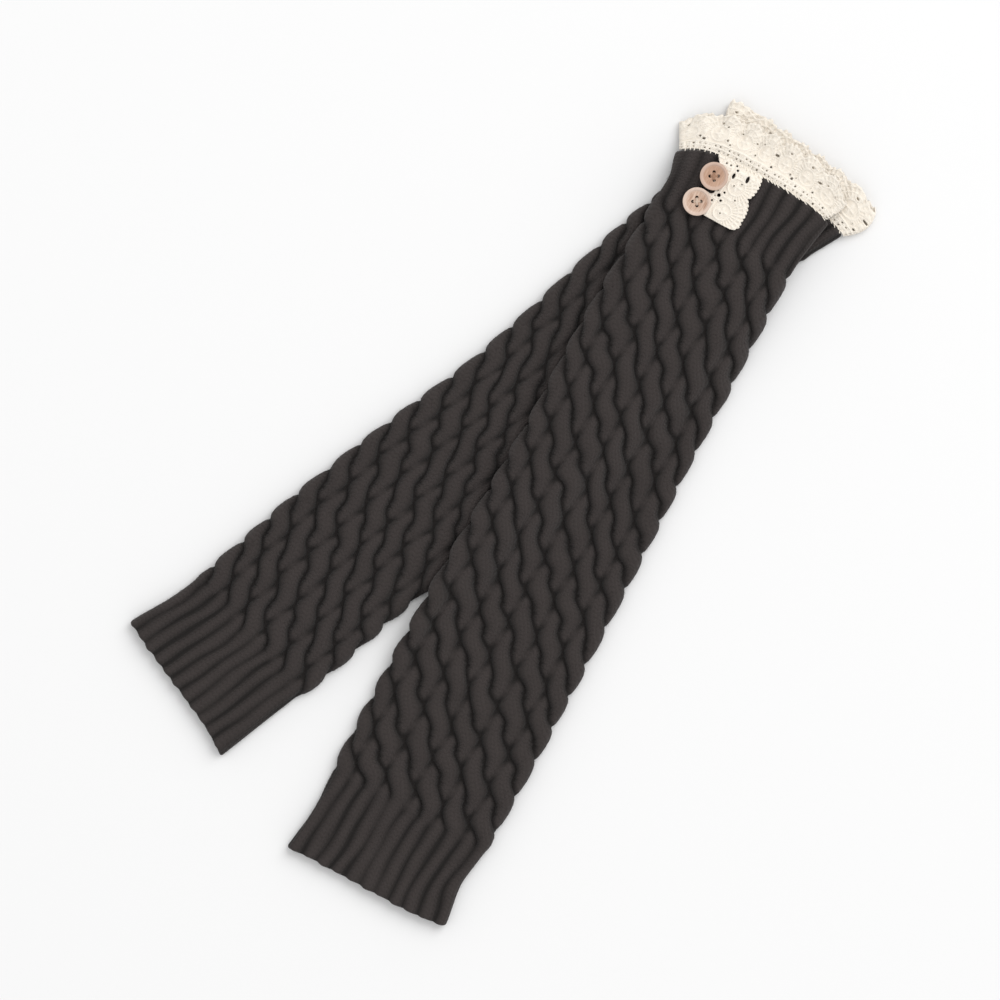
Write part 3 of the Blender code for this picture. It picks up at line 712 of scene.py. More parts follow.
def outer_points(leg, column, along):
    """Points of a tube's outer skin, and how high each is in the knit's relief."""
    relief, _, level = knit_reading(leg, column, along)
    edge = EDGE_RINGS[-1]
    from_edge = np.minimum(along, leg.form.length - along)
    drop = edge * (1 - np.sqrt(1 - np.clip(1 - from_edge / edge, 0, 1) ** 2))
    pitch = leg.cable_pitch(along)
    round_place = leg.cable_shift(along) + column * pitch
    half_round = QUARTER * 2 * pitch
    round_place = np.where(round_place > half_round, round_place - CABLES_ROUND * pitch, round_place)
    flat = leg.half_width(along) - FOLD_RADIUS
    at_fold = smooth_step((np.abs(round_place) - flat + FOLD_RADIUS) / (2 * FOLD_RADIUS))
    across, height = leg.skin(along, round_place, relief * (1 - FOLD_SMOOTHING * at_fold) - drop, drop)
    uneven = HEM_RIB_MEAN + HEM_RIB_DRIFT * drift(6 * column, 0.0, leg.form.drift_seed + 2)
    push = HEM_RIB_PUSH * np.abs(np.sin(2 * np.pi * column)) * uneven
    x, y = leg.place_past_hem(along, across, push * smooth_step(1 - along / HEM_PUSH_LENGTH))
    return leg.raised_points(x, y, height), level


def inner_points(leg, column, along):
    """Points of the plain inside, one under each column of the outer skin."""
    turned = (column + QUARTER) % CABLES_ROUND
    on_front = turned < 2 * QUARTER
    share = np.where(on_front, turned / QUARTER - 1, 3 - turned / QUARTER)
    x, y = leg.place_past_hem(along, share * (leg.half_width(along) - FOLD_WALL))
    return leg.raised_points(x, y, BACK_WALL + SLIT * on_front)


def knit_tube(leg, material, stands_for):
    """One closed cloth: ribs, cables and stitches outside, plain inside, with rounded cut edges."""
    columns = knit_columns()
    outer = knit_rings(leg.form.length)
    inner = np.linspace(leg.form.length, 0.0, INNER_RINGS)
    outer_along, outer_column = np.meshgrid(outer, columns, indexing="ij")
    inner_along, inner_column = np.meshgrid(inner, columns, indexing="ij")
    points, level = outer_points(leg, outer_column, outer_along)
    inside = inner_points(leg, inner_column, inner_along)
    points = np.concatenate((points, inside)).reshape(-1, 3)
    faces = ring_faces(len(outer) + len(inner), len(columns), closed=True)

    alongs = np.concatenate((outer, inner))
    ring, column = faces // len(columns), columns[faces % len(columns)]
    column[:, 1:3] += np.where(column[:, 1:3] < column[:, :1], CABLES_ROUND, 0)
    along = alongs[ring]
    middle_column, middle_along = column.mean(1), along.mean(1)
    _, kind, _ = knit_reading(leg, middle_column, middle_along)
    kind = np.where(ring.max(1) < len(outer), kind, 2)
    place, _ = uneven_place(leg, middle_column, middle_along)
    wale, row = stitch_place(leg, column, along, kind[:, None], np.floor(place)[:, None])

    name = leg.form.name + "_knit"
    mesh = mesh_from_arrays(name, points, [faces], [np.stack((wale, row), -1)], "Stitches")
    # The Level that the knit material turns into painted shade: the relief level outside, and a middle value
    # on the plain inside.
    set_point_value(mesh, "Level", np.concatenate((level.ravel(), np.full(inner_column.size, INSIDE_LEVEL))))
    piece = add_piece(name, mesh, material, "knit", stands_for)
    round_size = float(CABLES_ROUND * leg.cable_pitch(leg.form.length / 2))
    return piece


# Loose fibres on the knit.


def spike_faces(count, sides, levels):
    """Faces of three-sided spikes with a closed foot and a point, each of rings of points and a tip."""
    ring = np.arange(sides)
    top = (levels - 1) * sides
    tips = np.stack((top + ring, top + (ring + 1) % sides, np.full(sides, levels * sides)), -1)
    start = np.arange(count)[:, None, None] * (levels * sides + 1)
    quads = ring_faces(levels, sides, closed=False) + start
    return quads.reshape(-1, 4), (np.concatenate((tips, ring[None, ::-1])) + start).reshape(-1, 3)


def fuzz(leg, material, seed):
    """Short curling fibres that stand off the front and the folds of a tube, thickest at its outline."""
    chance = np.random.default_rng(seed)
    count = sizes().fuzz_count
    at_fold = chance.random(count) < FUZZ_AT_FOLDS
    side = np.where(chance.random(count) < 0.5, -1.0, 1.0)
    fold_column = side * chance.uniform(*FUZZ_FOLD_COLUMNS, count)
    column = np.where(at_fold, fold_column, chance.uniform(*FUZZ_FRONT_COLUMNS, count))
    along = chance.uniform(FUZZ_END_GAP, leg.form.length - FUZZ_END_GAP, count)
    foot = outer_points(leg, column, along)[0]
    over = outer_points(leg, column, along + PROBE_STEP)[0]
    beside = outer_points(leg, column + PROBE_STEP / PROBE_CABLE, along)[0]
    normal = unit_vectors(np.cross(beside - foot, over - foot))
    lean = chance.normal(size=(count, 3))
    lean = unit_vectors(lean - (lean * normal).sum(1)[:, None] * normal)
    length = sizes().fuzz_length * chance.uniform(*FUZZ_LENGTHS, count)[:, None]
    rise = chance.uniform(*FUZZ_RISES, count)[:, None] * normal
    across = np.cross(normal, lean)
    bend = across * chance.uniform(*FUZZ_CURLS, count)[:, None] - FUZZ_DROOP * rise
    points = []
    for share, radius in FUZZ_RINGS:
        centre = foot + length * (share * (rise + FUZZ_LEAN * lean) + share**2 * bend)
        for turn in 2 * np.pi * np.arange(FUZZ_SIDES) / FUZZ_SIDES:
            points.append(centre + radius * (math.cos(turn) * across + math.sin(turn) * normal))
    points.append(foot + length * (rise + FUZZ_LEAN * lean + bend))
    quads, triangles = spike_faces(count, FUZZ_SIDES, len(FUZZ_RINGS))
    points = np.stack(points, 1).reshape(-1, 3)
    points[:, 2] = np.maximum(points[:, 2], FUZZ_LOWEST)
    uvs = [points[faces][..., :2] * FUZZ_UV_SCALE for faces in (quads, triangles)]
    name = leg.form.name + "_fuzz"
    mesh = mesh_from_arrays(name, points, [quads, triangles], uvs, "Fibres")
    add_piece(name, mesh, material, "knit")


# The lace: one closed cloth, cut through where its pattern is open.


def ellipse_distance(x, y, spot):
    """About how far points lie outside an oval of the pattern."""
    reach = np.hypot((x - spot.along) / spot.half_length, (y - spot.up) / spot.half_height)
    return (reach - 1) * min(spot.half_length, spot.half_height)


def repeated_distance(along, up, spot):
    """The same for an oval that comes once in each repeat of the pattern."""
    x = along % LACE_REPEAT
    if spot.along < LACE_REPEAT / 5:
        x = np.where(x > LACE_REPEAT / 2, x - LACE_REPEAT, x)
    return ellipse_distance(x, up, spot)


def repeated_holes(along, up):
    """How far a place lies from the pattern's holes, which are unevenly drawn shut."""
    inside = np.full(along.shape, 1.0)
    for number, hole in enumerate(LACE_HOLES):
        uneven = smooth_step(0.5 + HOLE_DRIFT * drift(150 * along, 90 * up, number))
        closed = HOLE_CLOSING * uneven
        inside = np.minimum(inside, repeated_distance(along, up, hole) + closed)
    return inside


def begun(value, start):
    """0 before a start, 1 past the length after it, and a soft rise between."""
    return smooth_step((value - start[0]) / start[1])


def ridge(away, width):
    """A soft ridge, 1 in its middle."""
    return np.exp(-((away / width) ** 2))


def lace_pattern(along, up, from_holes):
    """(how far inside the cotton a place is, and how high its cords stand, 0 to 1), before its outer edge,
    where it lies so far from the larger holes."""
    x = along % LACE_REPEAT
    net_half = NET_HALF_HOLE * (0.5 + NET_DRIFT * drift(700 * along, 300 * up, 2))
    net_x = np.abs(x % NET_PITCH - NET_PITCH / 2)
    inside = from_holes
    for row in NET_ROWS:
        net = (net_x**3 + np.abs(up - row) ** 3) ** (1 / 3) - net_half
        inside = np.minimum(inside, net)
    rims = RIM_LEVEL * ridge(inside - RIM_INSET, RIM_WIDTH)
    cords = sum(ridge(up - row, CORD_WIDTH) for row in CORD_ROWS)
    bars = (1 - begun(up, NET_END)) * ridge(net_x - NET_PITCH / 2, BAR_WIDTH)
    from_middle = np.hypot(x - LACE_REPEAT / 2, up - FAN_MIDDLE)
    turn = np.arctan2(x - LACE_REPEAT / 2, up - FAN_MIDDLE)
    in_fan = begun(from_middle, FAN_RIB_START) * begun(up, FAN_RIB_LOWEST)
    ribs = FAN_RIB_LEVEL * in_fan * (0.5 + 0.5 * np.cos(FAN_RIBS * turn))
    arcs = sum(ridge(from_middle - reach, BAR_WIDTH) for reach in FAN_ARCS)
    arcs = FAN_ARC_LEVEL * arcs * begun(up, FAN_ARC_START)
    from_leaves = (repeated_distance(along, up, leaf) for leaf in LACE_LEAVES)
    leaves = LEAF_LEVEL * sum(np.exp(-np.clip(away / LEAF_EDGE + 1, 0, 9)) for away in from_leaves)
    return inside, np.clip(np.maximum.reduce([rims, cords, bars, ribs, arcs, leaves]), 0, 1)


def fan_edge(along, up):
    """How far inside the scalloped, picoted outer edge a place is."""
    x = along % LACE_REPEAT - LACE_REPEAT / 2
    turn = np.arctan2(x, up - FAN_MIDDLE)
    picots = np.abs(np.cos(PICOTS_ROUND / 2 * turn)) ** PICOT_ROUNDING - 1
    picots = PICOT_DEPTH * (picots + drift(900 * along, 500 * up, 8))
    reach = np.hypot(FAN_FLATTENING * x, up - FAN_MIDDLE)
    return np.where(up < FAN_MIDDLE, 1.0, FAN_RADIUS + picots - reach)


# The polygons that are kept of a grid's cell, by which of its corners, 0 to 3, are kept. 4 to 7 are the
# places on its edges where the cotton ends.
CELL_CASES = {
    1: ((0, 4, 7),), 2: ((1, 5, 4),), 4: ((2, 6, 5),), 8: ((3, 7, 6),),
    3: ((0, 1, 5, 7),), 6: ((1, 2, 6, 4),), 12: ((2, 3, 7, 5),), 9: ((3, 0, 4, 6),),
    5: ((0, 4, 7), (2, 6, 5)), 10: ((1, 5, 4), (3, 7, 6)), 7: ((0, 1, 2, 6, 7),), 14: ((1, 2, 3, 7, 4),),
    13: ((2, 3, 0, 4, 5),), 11: ((3, 0, 1, 5, 6),), 15: ((0, 1, 2, 3),),
}


def cut_cloth(inside, middle, normal, over, under, coordinates, wraps):
    """(points, sets of faces, their corners' coordinates, and which of all the points are used) of a thin
    cloth that is kept where inside is above 0, and comes to a rounded meeting of both sides at its edges.
    Middle and normal are grids of vectors, and wraps is the coordinates' length round a cloth that closes on
    itself, or 0."""
    columns, rows = inside.shape
    last = columns if wraps else columns - 1
    i, j = (grid.ravel() for grid in np.meshgrid(np.arange(last), np.arange(rows - 1), indexing="ij"))
    beside = (i + 1) % columns
    corners = np.stack((i * rows + j, beside * rows + j, beside * rows + j + 1, i * rows + j + 1), -1)
    kept = (inside > 0).ravel()
    case = (kept[corners] * np.array((1, 2, 4, 8))).sum(1)

    count = columns * rows
    flat_inside = inside.ravel()
    along_edge = np.stack((corners, np.roll(corners, -1, axis=1)), -1)
    low, high = along_edge.min(-1), along_edge.max(-1)
    key = low.astype(np.int64) * count + high
    crossing = kept[low] != kept[high]
    keys, where = np.unique(key[crossing], return_inverse=True)
    edge_number = np.zeros(key.shape, int)
    edge_number[crossing] = where + 2 * count
    low, high = keys // count, keys % count
    share = flat_inside[low] / (flat_inside[low] - flat_inside[high])
    share = np.clip(share, *LACE_EDGE_LIMITS)[:, None]
    flat_middle = middle.reshape(-1, 3)
    meeting = flat_middle[low] * (1 - share) + flat_middle[high] * share
    top = (middle + normal * over[..., None]).reshape(-1, 3)
    bottom = (middle - normal * under[..., None]).reshape(-1, 3)
    points = np.concatenate((top, bottom, meeting))

    flat_uv = coordinates.reshape(-1, 2)
    low_uv, high_uv = flat_uv[low], flat_uv[high]
    if wraps:
        high_uv = np.where(np.abs(high_uv - low_uv) > wraps / 2, low_uv, high_uv)
    uv = np.concatenate((flat_uv, flat_uv, low_uv * (1 - share) + high_uv * share))
    all_corners = np.concatenate((corners, edge_number), axis=1)
    faces = {}
    for number, polygons in CELL_CASES.items():
        cells = all_corners[case == number]
        for polygon in polygons:
            on_top = cells[:, polygon]
            on_bottom = np.where(on_top < count, on_top + count, on_top)[:, ::-1]
            faces.setdefault(len(polygon), []).extend((on_top, on_bottom))
    face_sets = [np.concatenate(group) for _, group in sorted(faces.items())]
    used = np.unique(np.concatenate([group.ravel() for group in face_sets]))
    renumbered = np.zeros(len(points), int)
    renumbered[used] = np.arange(len(used))
    face_sets = [renumbered[group] for group in face_sets]
    corner_uvs = [uv[used][group] for group in face_sets]
    for corner_uv in corner_uvs if wraps else ():
        first = corner_uv[..., 0]
        first += np.where(first.max(1, keepdims=True) - first > wraps / 2, wraps, 0)
    return points[used], face_sets, corner_uvs, used


def cloth_piece(name, material, inside, height, middle, normal, raised, coordinates, wraps, stands_for):
    """A lace piece from its pattern on a grid: rounded at each edge, with cords on its outer side."""
    half = sizes().lace_wall / 2
    fullness = np.sqrt(1 - (1 - np.clip(inside / LACE_ROUNDING, 0, 1)) ** 2)
    over = fullness * (half + sizes().cord_relief * height * raised)
    under = fullness * half
    points, face_sets, uvs, used = cut_cloth(inside, middle, normal, over, under, coordinates, wraps)
    mesh = mesh_from_arrays(name, points, face_sets, uvs, "Threads")
    # The Level that the lace material turns into painted shade: the cords' height on top, half of it on the
    # underside, and a fixed middle value at the cut edges.
    at_edges = np.full(used.max() + 1, LACE_EDGE_LEVEL)
    levels = np.concatenate((height.ravel(), 0.5 * height.ravel(), at_edges))
    set_point_value(mesh, "Level", levels[used])
    return add_piece(name, mesh, material, "lace", stands_for)


def lace_phase(form, place):
    """Where in its waves the ruffle is. The waves are uneven, and the same on its front and back."""
    uneven = LACE_WAVE_DRIFT * np.sin(LACE_WAVE_TURNS * place + form.lace_phase)
    return math.pi * LACE_WAVES * place + form.lace_phase + uneven


def lace_length(form, place):
    """The lace's width at a place from -1, the left fold, to 1, the right fold."""
    shorter = 1 - by_side(place, form.lace_height)
    length = LACE_WIDTH * form.lace_scale * (1 - shorter * np.minimum(np.abs(place), 1) ** 4)
    return length * (1 + LACE_SCALLOP * np.cos(lace_phase(form, place)))


def lace_middle(leg, place, angle, share):
    """Points in the middle of the lace's wall: place from fold to fold, angle 0 on the front and pi on the
    back, and share 0 at its foot and 1 at its scalloped edge."""
    form = leg.form
    gap = LACE_FOOT_GAP + (LACE_TIP_GAP - LACE_FOOT_GAP) * share
    side = np.sign(place)
    across = place * (leg.half_width(form.length) - LACE_SIDE_INSET) + gap / 2 * np.sin(angle) * side
    across = across + side * by_side(place, form.lace_reach) * place**6
    x, y = leg.place(np.full(place.shape, form.length), across)
    fan = np.abs(place) ** 3 * side * by_side(place, form.lace_fan)
    curl = share**2 * by_side(place, form.lace_curl)
    heading = form.turn + leg.turned(form.length) - fan * (1 - curl)
    forward = LACE_SEAM + share * lace_length(form, place)
    x, y = x - np.sin(heading) * forward, y + np.cos(heading) * forward
    wave = form.lace_wave * share * (0.5 + 0.5 * np.cos(lace_phase(form, place)))
    height = LACE_WALL / 2 + LACE_FOOT_LIFT * (1 - share) ** 2 + gap / 2 + wave
    lumps = 0.5 + 0.5 * drift(40 * place, 13 * share, form.drift_seed)
    height = height + LACE_LUMPS * lumps * share * (0.5 + 0.5 * np.cos(angle))
    return leg.raised_points(x, y, height + gap / 2 * np.cos(angle))


def lace_columns(leg, step):
    """(place, angle, share of the way round) of each column round the lace, finest on its front, and the
    length all round."""
    reach = float(leg.half_width(leg.form.length)) - LACE_SIDE_INSET
    arc = math.pi * LACE_FOOT_GAP / 2
    front_steps, fold_steps = round(2 * reach / step), round(arc / step)
    back_steps = round(2 * reach / (step * LACE_BACK_STEP))
    front, back = np.linspace(-1, 1, front_steps + 1), np.linspace(1, -1, back_steps + 1)
    turn = np.linspace(0, math.pi, fold_steps + 1)[1:-1]
    place = np.concatenate((front, np.ones(len(turn)), back, -np.ones(len(turn))))
    angle = np.concatenate((np.zeros(len(front)), turn, np.full(len(back), math.pi), turn[::-1]))
    lengths = ((front_steps + 1, 2 * reach / front_steps), (fold_steps, arc / fold_steps),
               (back_steps, 2 * reach / back_steps), (fold_steps - 1, arc / fold_steps))
    steps = np.concatenate([np.full(number, size) for number, size in lengths])
    distance = np.concatenate(([0], np.cumsum(steps)))[: len(place)]
    total = 4 * reach + 2 * arc
    return place, angle, distance / total, total


def lace_ruffle(leg, material, stands_for):
    """The crochet trim round a leg's top: solid fans over a net band, with picots on its scalloped edge."""
    step = sizes().lace_grid
    place, angle, way, total = lace_columns(leg, step)
    up = np.arange(0.0, LACE_WIDTH + step, step)
    repeats = 2 * leg.form.lace_repeats
    way, rise = np.meshgrid(way, up, indexing="ij")
    along = (way * repeats + LACE_START) * LACE_REPEAT
    inside, height = lace_pattern(along, rise, repeated_holes(along, rise))
    inside = np.minimum.reduce([inside, fan_edge(along, rise), rise - FIRST_ROW_CUT * step])
    share = rise / LACE_WIDTH
    place, angle = (np.broadcast_to(values[:, None], share.shape) for values in (place, angle))
    middle = lace_middle(leg, place, angle, share)
    beside = np.roll(middle, -1, axis=0) - np.roll(middle, 1, axis=0)
    normal = unit_vectors(np.cross(beside, np.gradient(middle, axis=1)))
    raised = 1 - LACE_BACK_FLATTENING * smooth_step(2 * angle / math.pi)
    coordinates = np.stack((along, rise), -1) * MILLIMETRES
    wraps = repeats * LACE_REPEAT * MILLIMETRES
    name = leg.form.name + "_lace"
    piece = cloth_piece(
        name, material, inside, height, middle, normal, raised, coordinates, wraps, stands_for)
    flat = (LACE_GATHER * total, LACE_MEAN_WIDTH * LACE_WIDTH)
    return piece


def tab_right_edge(along):
    """How far across the tab reaches, with its scallops and its rounded lower corner."""
    from_low = along - TAB_LOW
    scallop = 1 - np.abs(np.sin(np.pi * from_low / TAB_SCALLOP_PITCH)) ** TAB_SCALLOP_ROUNDING
    to_corner = np.clip(TAB_CORNER - from_low, 0, TAB_CORNER)
    edge = TAB_RIGHT - TAB_TAPER * from_low - TAB_SCALLOP_DEPTH * (scallop - to_corner / TAB_CORNER)
    edge = edge - (TAB_CORNER - np.sqrt(TAB_CORNER**2 - to_corner**2))
    picots = np.abs(np.sin(np.pi * from_low / TAB_PICOT_PITCH)) ** PICOT_ROUNDING
    return edge + PICOT_DEPTH * (picots - TAB_PICOT_MEAN)


def lace_tab(leg, material, stands_for):
    """The short length of the same lace that hangs over the upper leg's top rib, under the buttons."""
    step = sizes().lace_grid * TAB_STEP
    along = np.arange(TAB_LOW, TAB_HIGH + step, step)
    across = np.arange(TAB_LEFT - TAB_TOP_REACH - step, TAB_RIGHT + 2 * step, step)
    along, across = np.meshgrid(along, across, indexing="ij")
    up = across - TAB_LEFT
    pattern_along = along - TAB_LOW + TAB_PATTERN_START
    holes = np.minimum.reduce([ellipse_distance(along - TAB_LOW, up, hole) for hole in TAB_HOLES])
    inside, height = lace_pattern(pattern_along, up, holes)
    ends = np.minimum(along - TAB_LOW - FIRST_ROW_CUT * step, TAB_HIGH - along)
    wider = TAB_TOP_REACH * smooth_step((along - TAB_HIGH + TAB_TOP_LENGTH) / TAB_TOP_LENGTH)
    inside = np.minimum.reduce([inside, tab_right_edge(along) - across, up + wider, ends])
    bend = smooth_step((along - TAB_HIGH + TAB_BEND_LENGTH) / TAB_BEND_LENGTH)
    puff = TAB_PUFF * drift(260 * along, 210 * across, 3)
    x, y = leg.place(np.minimum(along, UPPER_LENGTH), across)
    past = np.maximum(along - UPPER_LENGTH, 0)
    x, y = x + leg.line[0] * past, y + leg.line[1] * past
    lift = TAB_REST + sizes().lace_wall / 2 + puff * (1 - bend) - TAB_BEND_DROP * bend
    middle = leg.raised_points(x, y, lift)
    normal = unit_vectors(np.cross(np.gradient(middle, axis=1), np.gradient(middle, axis=0)))
    coordinates = np.stack((pattern_along, up), -1) * MILLIMETRES
    piece = cloth_piece(
        "tab_lace", material, inside, height, middle, normal, 1.0, coordinates, 0, stands_for)


# Sewing thread.


def cord_arrays(path, radius, sides=6):
    """Points and faces of a closed, round-ended cord along a path."""
    ahead = unit_vectors(np.gradient(path, axis=0))
    across = unit_vectors(np.cross(ahead, CORD_UPWARD))
    other = np.cross(across, ahead)
    tip = CORD_TIP_LENGTH * radius
    ends = np.concatenate((path[:1] - ahead[:1] * tip, path, path[-1:] + ahead[-1:] * tip))
    across, other = (np.concatenate((value[:1], value, value[-1:]))[:, None] for value in (across, other))
    widths = np.full((len(ends), 1, 1), radius)
    widths[[0, -1]] = CORD_TIP_WIDTH * radius
    turn = 2 * np.pi * np.arange(sides)[:, None] / sides
    rings = ends[:, None] + widths * (np.cos(turn) * across + np.sin(turn) * other)
    ring = np.arange(sides)
    caps = np.stack((ring[::-1], (len(ends) - 1) * sides + ring))
    return rings.reshape(-1, 3), ring_faces(len(ends), sides, closed=False), caps


def cords_piece(name, paths, radius, material):
    """One piece of many cotton cords."""
    points, quads, caps, count = [], [], [], 0
    for path in paths:
        cord, sides, ends = cord_arrays(path, radius)
        for group, more in ((points, cord), (quads, sides + count), (caps, ends + count)):
            group.append(more)
        count += len(cord)
    points, *sets = (np.concatenate(group) for group in (points, quads, caps))
    uvs = [points[faces][..., :2] * MILLIMETRES for faces in sets]
    add_piece(name, mesh_from_arrays(name, points, sets, uvs, "Threads"), material, "lace")


def overcast_paths(leg):
    """Slanting stitches that hold the lace's foot over the knit's top edge, uneven in place and length."""
    form = leg.form
    reach = float(leg.half_width(form.length)) - LACE_SIDE_INSET
    count = round(2 * reach / SEWING_PITCH)
    rows = np.linspace(0, 1, SEWING_POINTS)
    paths = []
    for k in range(count):
        place = np.full(rows.shape, (2 * k + 1) / count - 1)
        on_lace = lace_middle(leg, place, np.zeros(rows.shape), np.full(rows.shape, SEWING_ON_LACE))
        across = place * leg.half_width(form.length) * SEWING_INSET
        below = SEWING_ON_KNIT + SEWING_DEPTH_DRIFT * math.sin(3.7 * k + form.drift_seed)
        x, y = leg.place(np.full(rows.shape, form.length - below), across)
        over_tab = leg is upper_leg and TAB_LEFT < across[0] < TAB_RIGHT
        rest = TAB_REST + sizes().lace_wall if over_tab else VALLEY_HEIGHT + SEWING_ON_RIBS
        on_knit = leg.raised_points(x, y, rest)
        path = on_lace + rows[:, None] * (on_knit - on_lace)
        path[:, 2] += SEWING_RISE * np.sin(np.pi * rows) ** SEWING_ROUNDING - SEWING_SINK
        slant = SEWING_SLANT * (rows - 0.5) + SEWING_SLANT_DRIFT * math.sin(5.3 * k + form.drift_seed)
        path[:, :2] += slant[:, None] * leg.side
        paths.append(path)
    return paths


# The wooden buttons, modelled from plain cylinders.


def deselect_all():
    for picked in list(bpy.context.selected_objects):
        picked.select_set(False)


def apply_modifier(button, modifier):
    """Applies a modifier with the button alone selected."""
    deselect_all()
    button.select_set(True)
    bpy.context.view_layer.objects.active = button
    bpy.ops.object.modifier_apply(modifier=modifier.name)


def edit_top(button):
    """Enters edit mode with only the faces selected that point upwards."""
    for polygon in button.data.polygons:
        polygon.select = polygon.normal.z > FACING_UP
    for group in (button.data.vertices, button.data.edges):
        group.foreach_set("select", [False] * len(group))
    bpy.ops.object.mode_set(mode="EDIT")
    bpy.ops.mesh.select_mode(type="FACE")


def button_middle(along, across):
    """The middle of a button's underside, on the tab."""
    x, y = upper_leg.place(along, across)
    return Vector(upper_leg.raised_points(x, y, BUTTON_REST).tolist())


def turned_button(name, along, across):
    """A round button with a raised rim, a dished middle and four holes."""
    size = sizes()
    deselect_all()
    middle = button_middle(along, across) + Vector((0, 0, size.button_thickness / 2))
    bpy.ops.mesh.primitive_cylinder_add(
        vertices=BUTTON_SIDES, radius=size.button_diameter / 2, depth=size.button_thickness, location=middle)
    button = bpy.context.object
    button.name = button.data.name = name
    edit_top(button)
    for inset, share in ((BUTTON_RIM, 0.0), (BUTTON_STEP, 0.8), (BUTTON_SLOPE, 0.2)):
        bpy.ops.mesh.inset(thickness=inset)
        bpy.ops.transform.translate(value=(0, 0, -share * BUTTON_DISH))
    bpy.ops.object.mode_set(mode="OBJECT")
    drill_holes(button, middle)
    bevel = button.modifiers.new("Worn edges", "BEVEL")
    bevel.width, bevel.segments, bevel.angle_limit = BUTTON_EDGE, BUTTON_EDGE_STEPS, BUTTON_EDGE_ANGLE
    apply_modifier(button, bevel)
    bpy.ops.object.transform_apply(location=True, rotation=True, scale=True)
    bpy.ops.object.shade_smooth_by_angle(angle=BUTTON_SMOOTH_ANGLE)
    return button


def hole_place(middle, k):
    """The place of one of a button's four thread holes, 0 to 3, round a middle."""
    turn = BUTTON_HOLE_TURN + k * math.pi / 2
    return middle + Vector((math.cos(turn), math.sin(turn), 0)) * BUTTON_HOLE_REACH


def drill_holes(button, middle):
    """Cuts the four thread holes."""
    for k in range(4):
        deselect_all()
        bpy.ops.mesh.primitive_cylinder_add(
            vertices=BUTTON_HOLE_SIDES, radius=BUTTON_HOLE_RADIUS, depth=4 * sizes().button_thickness,
            location=hole_place(middle, k))
        drill = bpy.context.object
        cut = button.modifiers.new("Hole", "BOOLEAN")
        cut.operation, cut.object, cut.solver = "DIFFERENCE", drill, "EXACT"
        apply_modifier(button, cut)
        bpy.data.objects.remove(drill, do_unlink=True)


def thread_paths(along, across):
    """Thread that crosses a button between its holes, and goes down through them."""
    middle = button_middle(along, across)
    top = middle.z + sizes().button_thickness - BUTTON_DISH
    rows = np.linspace(-1, 1, THREAD_POINTS)
    down = THREAD_DROP * np.clip((np.abs(rows) - THREAD_BEND) / (1 - THREAD_BEND), 0, 1) ** 2
    paths = []
    for first in (0, 1):
        a, b = (np.array(hole_place(middle, k)) for k in (first, first + 2))
        lift = THREAD_RADIUS * (1 + first * (1 - rows**2))
        for side in (-1, 1):
            beside = side * THREAD_SPACING * unit_vectors(np.array((a[1] - b[1], b[0] - a[0], 0)))
            path = (a + b) / 2 + beside + rows[:, None] * (b - a) / 2 * THREAD_REACH
            path[:, 2] = top + lift - down
            paths.append(path)
    return paths


# Shaders written as expressions.


class Value:
    """An output of a shader node. Arithmetic on it adds maths nodes."""

    def __init__(self, tree, socket=None):
        self.tree, self.socket = tree, socket

    def add_node(self, kind, settings, inputs, output=0):
        """Adds a node of a kind with its settings, and sets or links inputs given by name or number."""
        node = self.tree.nodes.new(kind)
        for name, setting in settings.items():
            setattr(node, name, setting)
        for name, given in inputs.items():
            if isinstance(given, Value):
                self.tree.links.new(given.socket, node.inputs[name])
            else:
                node.inputs[name].default_value = given
        return Value(self.tree, node.outputs[output])

    def maths(self, operation, *values):
        return self.add_node("ShaderNodeMath", {"operation": operation}, dict(enumerate(values)))

    def __add__(self, other):
        return self.maths("ADD", self, other)

    def __radd__(self, other):
        return self.maths("ADD", other, self)

    def __sub__(self, other):
        return self.maths("SUBTRACT", self, other)

    def __rsub__(self, other):
        return self.maths("SUBTRACT", other, self)

    def __mul__(self, other):
        return self.maths("MULTIPLY", self, other)

    def __rmul__(self, other):
        return self.maths("MULTIPLY", other, self)

    def sine(self):
        return self.maths("SINE", self)

    def size(self):
        return self.maths("ABSOLUTE", self)

    def part(self):
        return self.maths("FRACT", self)

    def within(self, low, high):
        """0 below low and 1 above high, in a straight line between."""
        limits = {"Value": self, "From Min": low, "From Max": high}
        return self.add_node("ShaderNodeMapRange", {"clamp": True}, limits)

    def mix(self, low, high):
        """A colour from low, where this is 0, to high, where it is 1."""
        low, high = (tone if isinstance(tone, Value) else (*tone, 1.0) for tone in (low, high))
        return self.add_node("ShaderNodeMix", {"data_type": "RGBA"}, {0: self, 6: low, 7: high}, 2)


def new_material(name):
    """A material with an empty Principled shader, its start for expressions, and the shader's node."""
    material = bpy.data.materials.new(name)
    material.use_nodes = True
    tree = material.node_tree
    return material, Value(tree), tree.nodes["Principled BSDF"]


def feed(start, shader, **inputs):
    """Links or sets the shader's inputs. Underscores stand for the spaces in their names."""
    for name, given in inputs.items():
        socket = shader.inputs[name.replace("_", " ")]
        if isinstance(given, Value):
            start.tree.links.new(given.socket, socket)
        else:
            socket.default_value = given


def bumped(start, height, distance, strength):
    inputs = {"Height": height, "Distance": distance, "Strength": strength}
    return start.add_node("ShaderNodeBump", {}, inputs)


def own_uv(start, name):
    """The two coordinates of a piece's own UVs."""
    uv = start.add_node("ShaderNodeUVMap", {"uv_map": name}, {})
    return (start.add_node("ShaderNodeSeparateXYZ", {}, {0: uv}, axis) for axis in (0, 1))


def own_level(start):
    """How high each point is in its piece's relief."""
    return start.add_node("ShaderNodeAttribute", {"attribute_name": "Level"}, {}, 2)


def object_place(start, stretch):
    """A piece's own coordinates, each times a factor."""
    place = start.add_node("ShaderNodeTexCoord", {}, {}, 3)
    return start.add_node("ShaderNodeVectorMath", {"operation": "MULTIPLY"}, {0: place, 1: stretch})


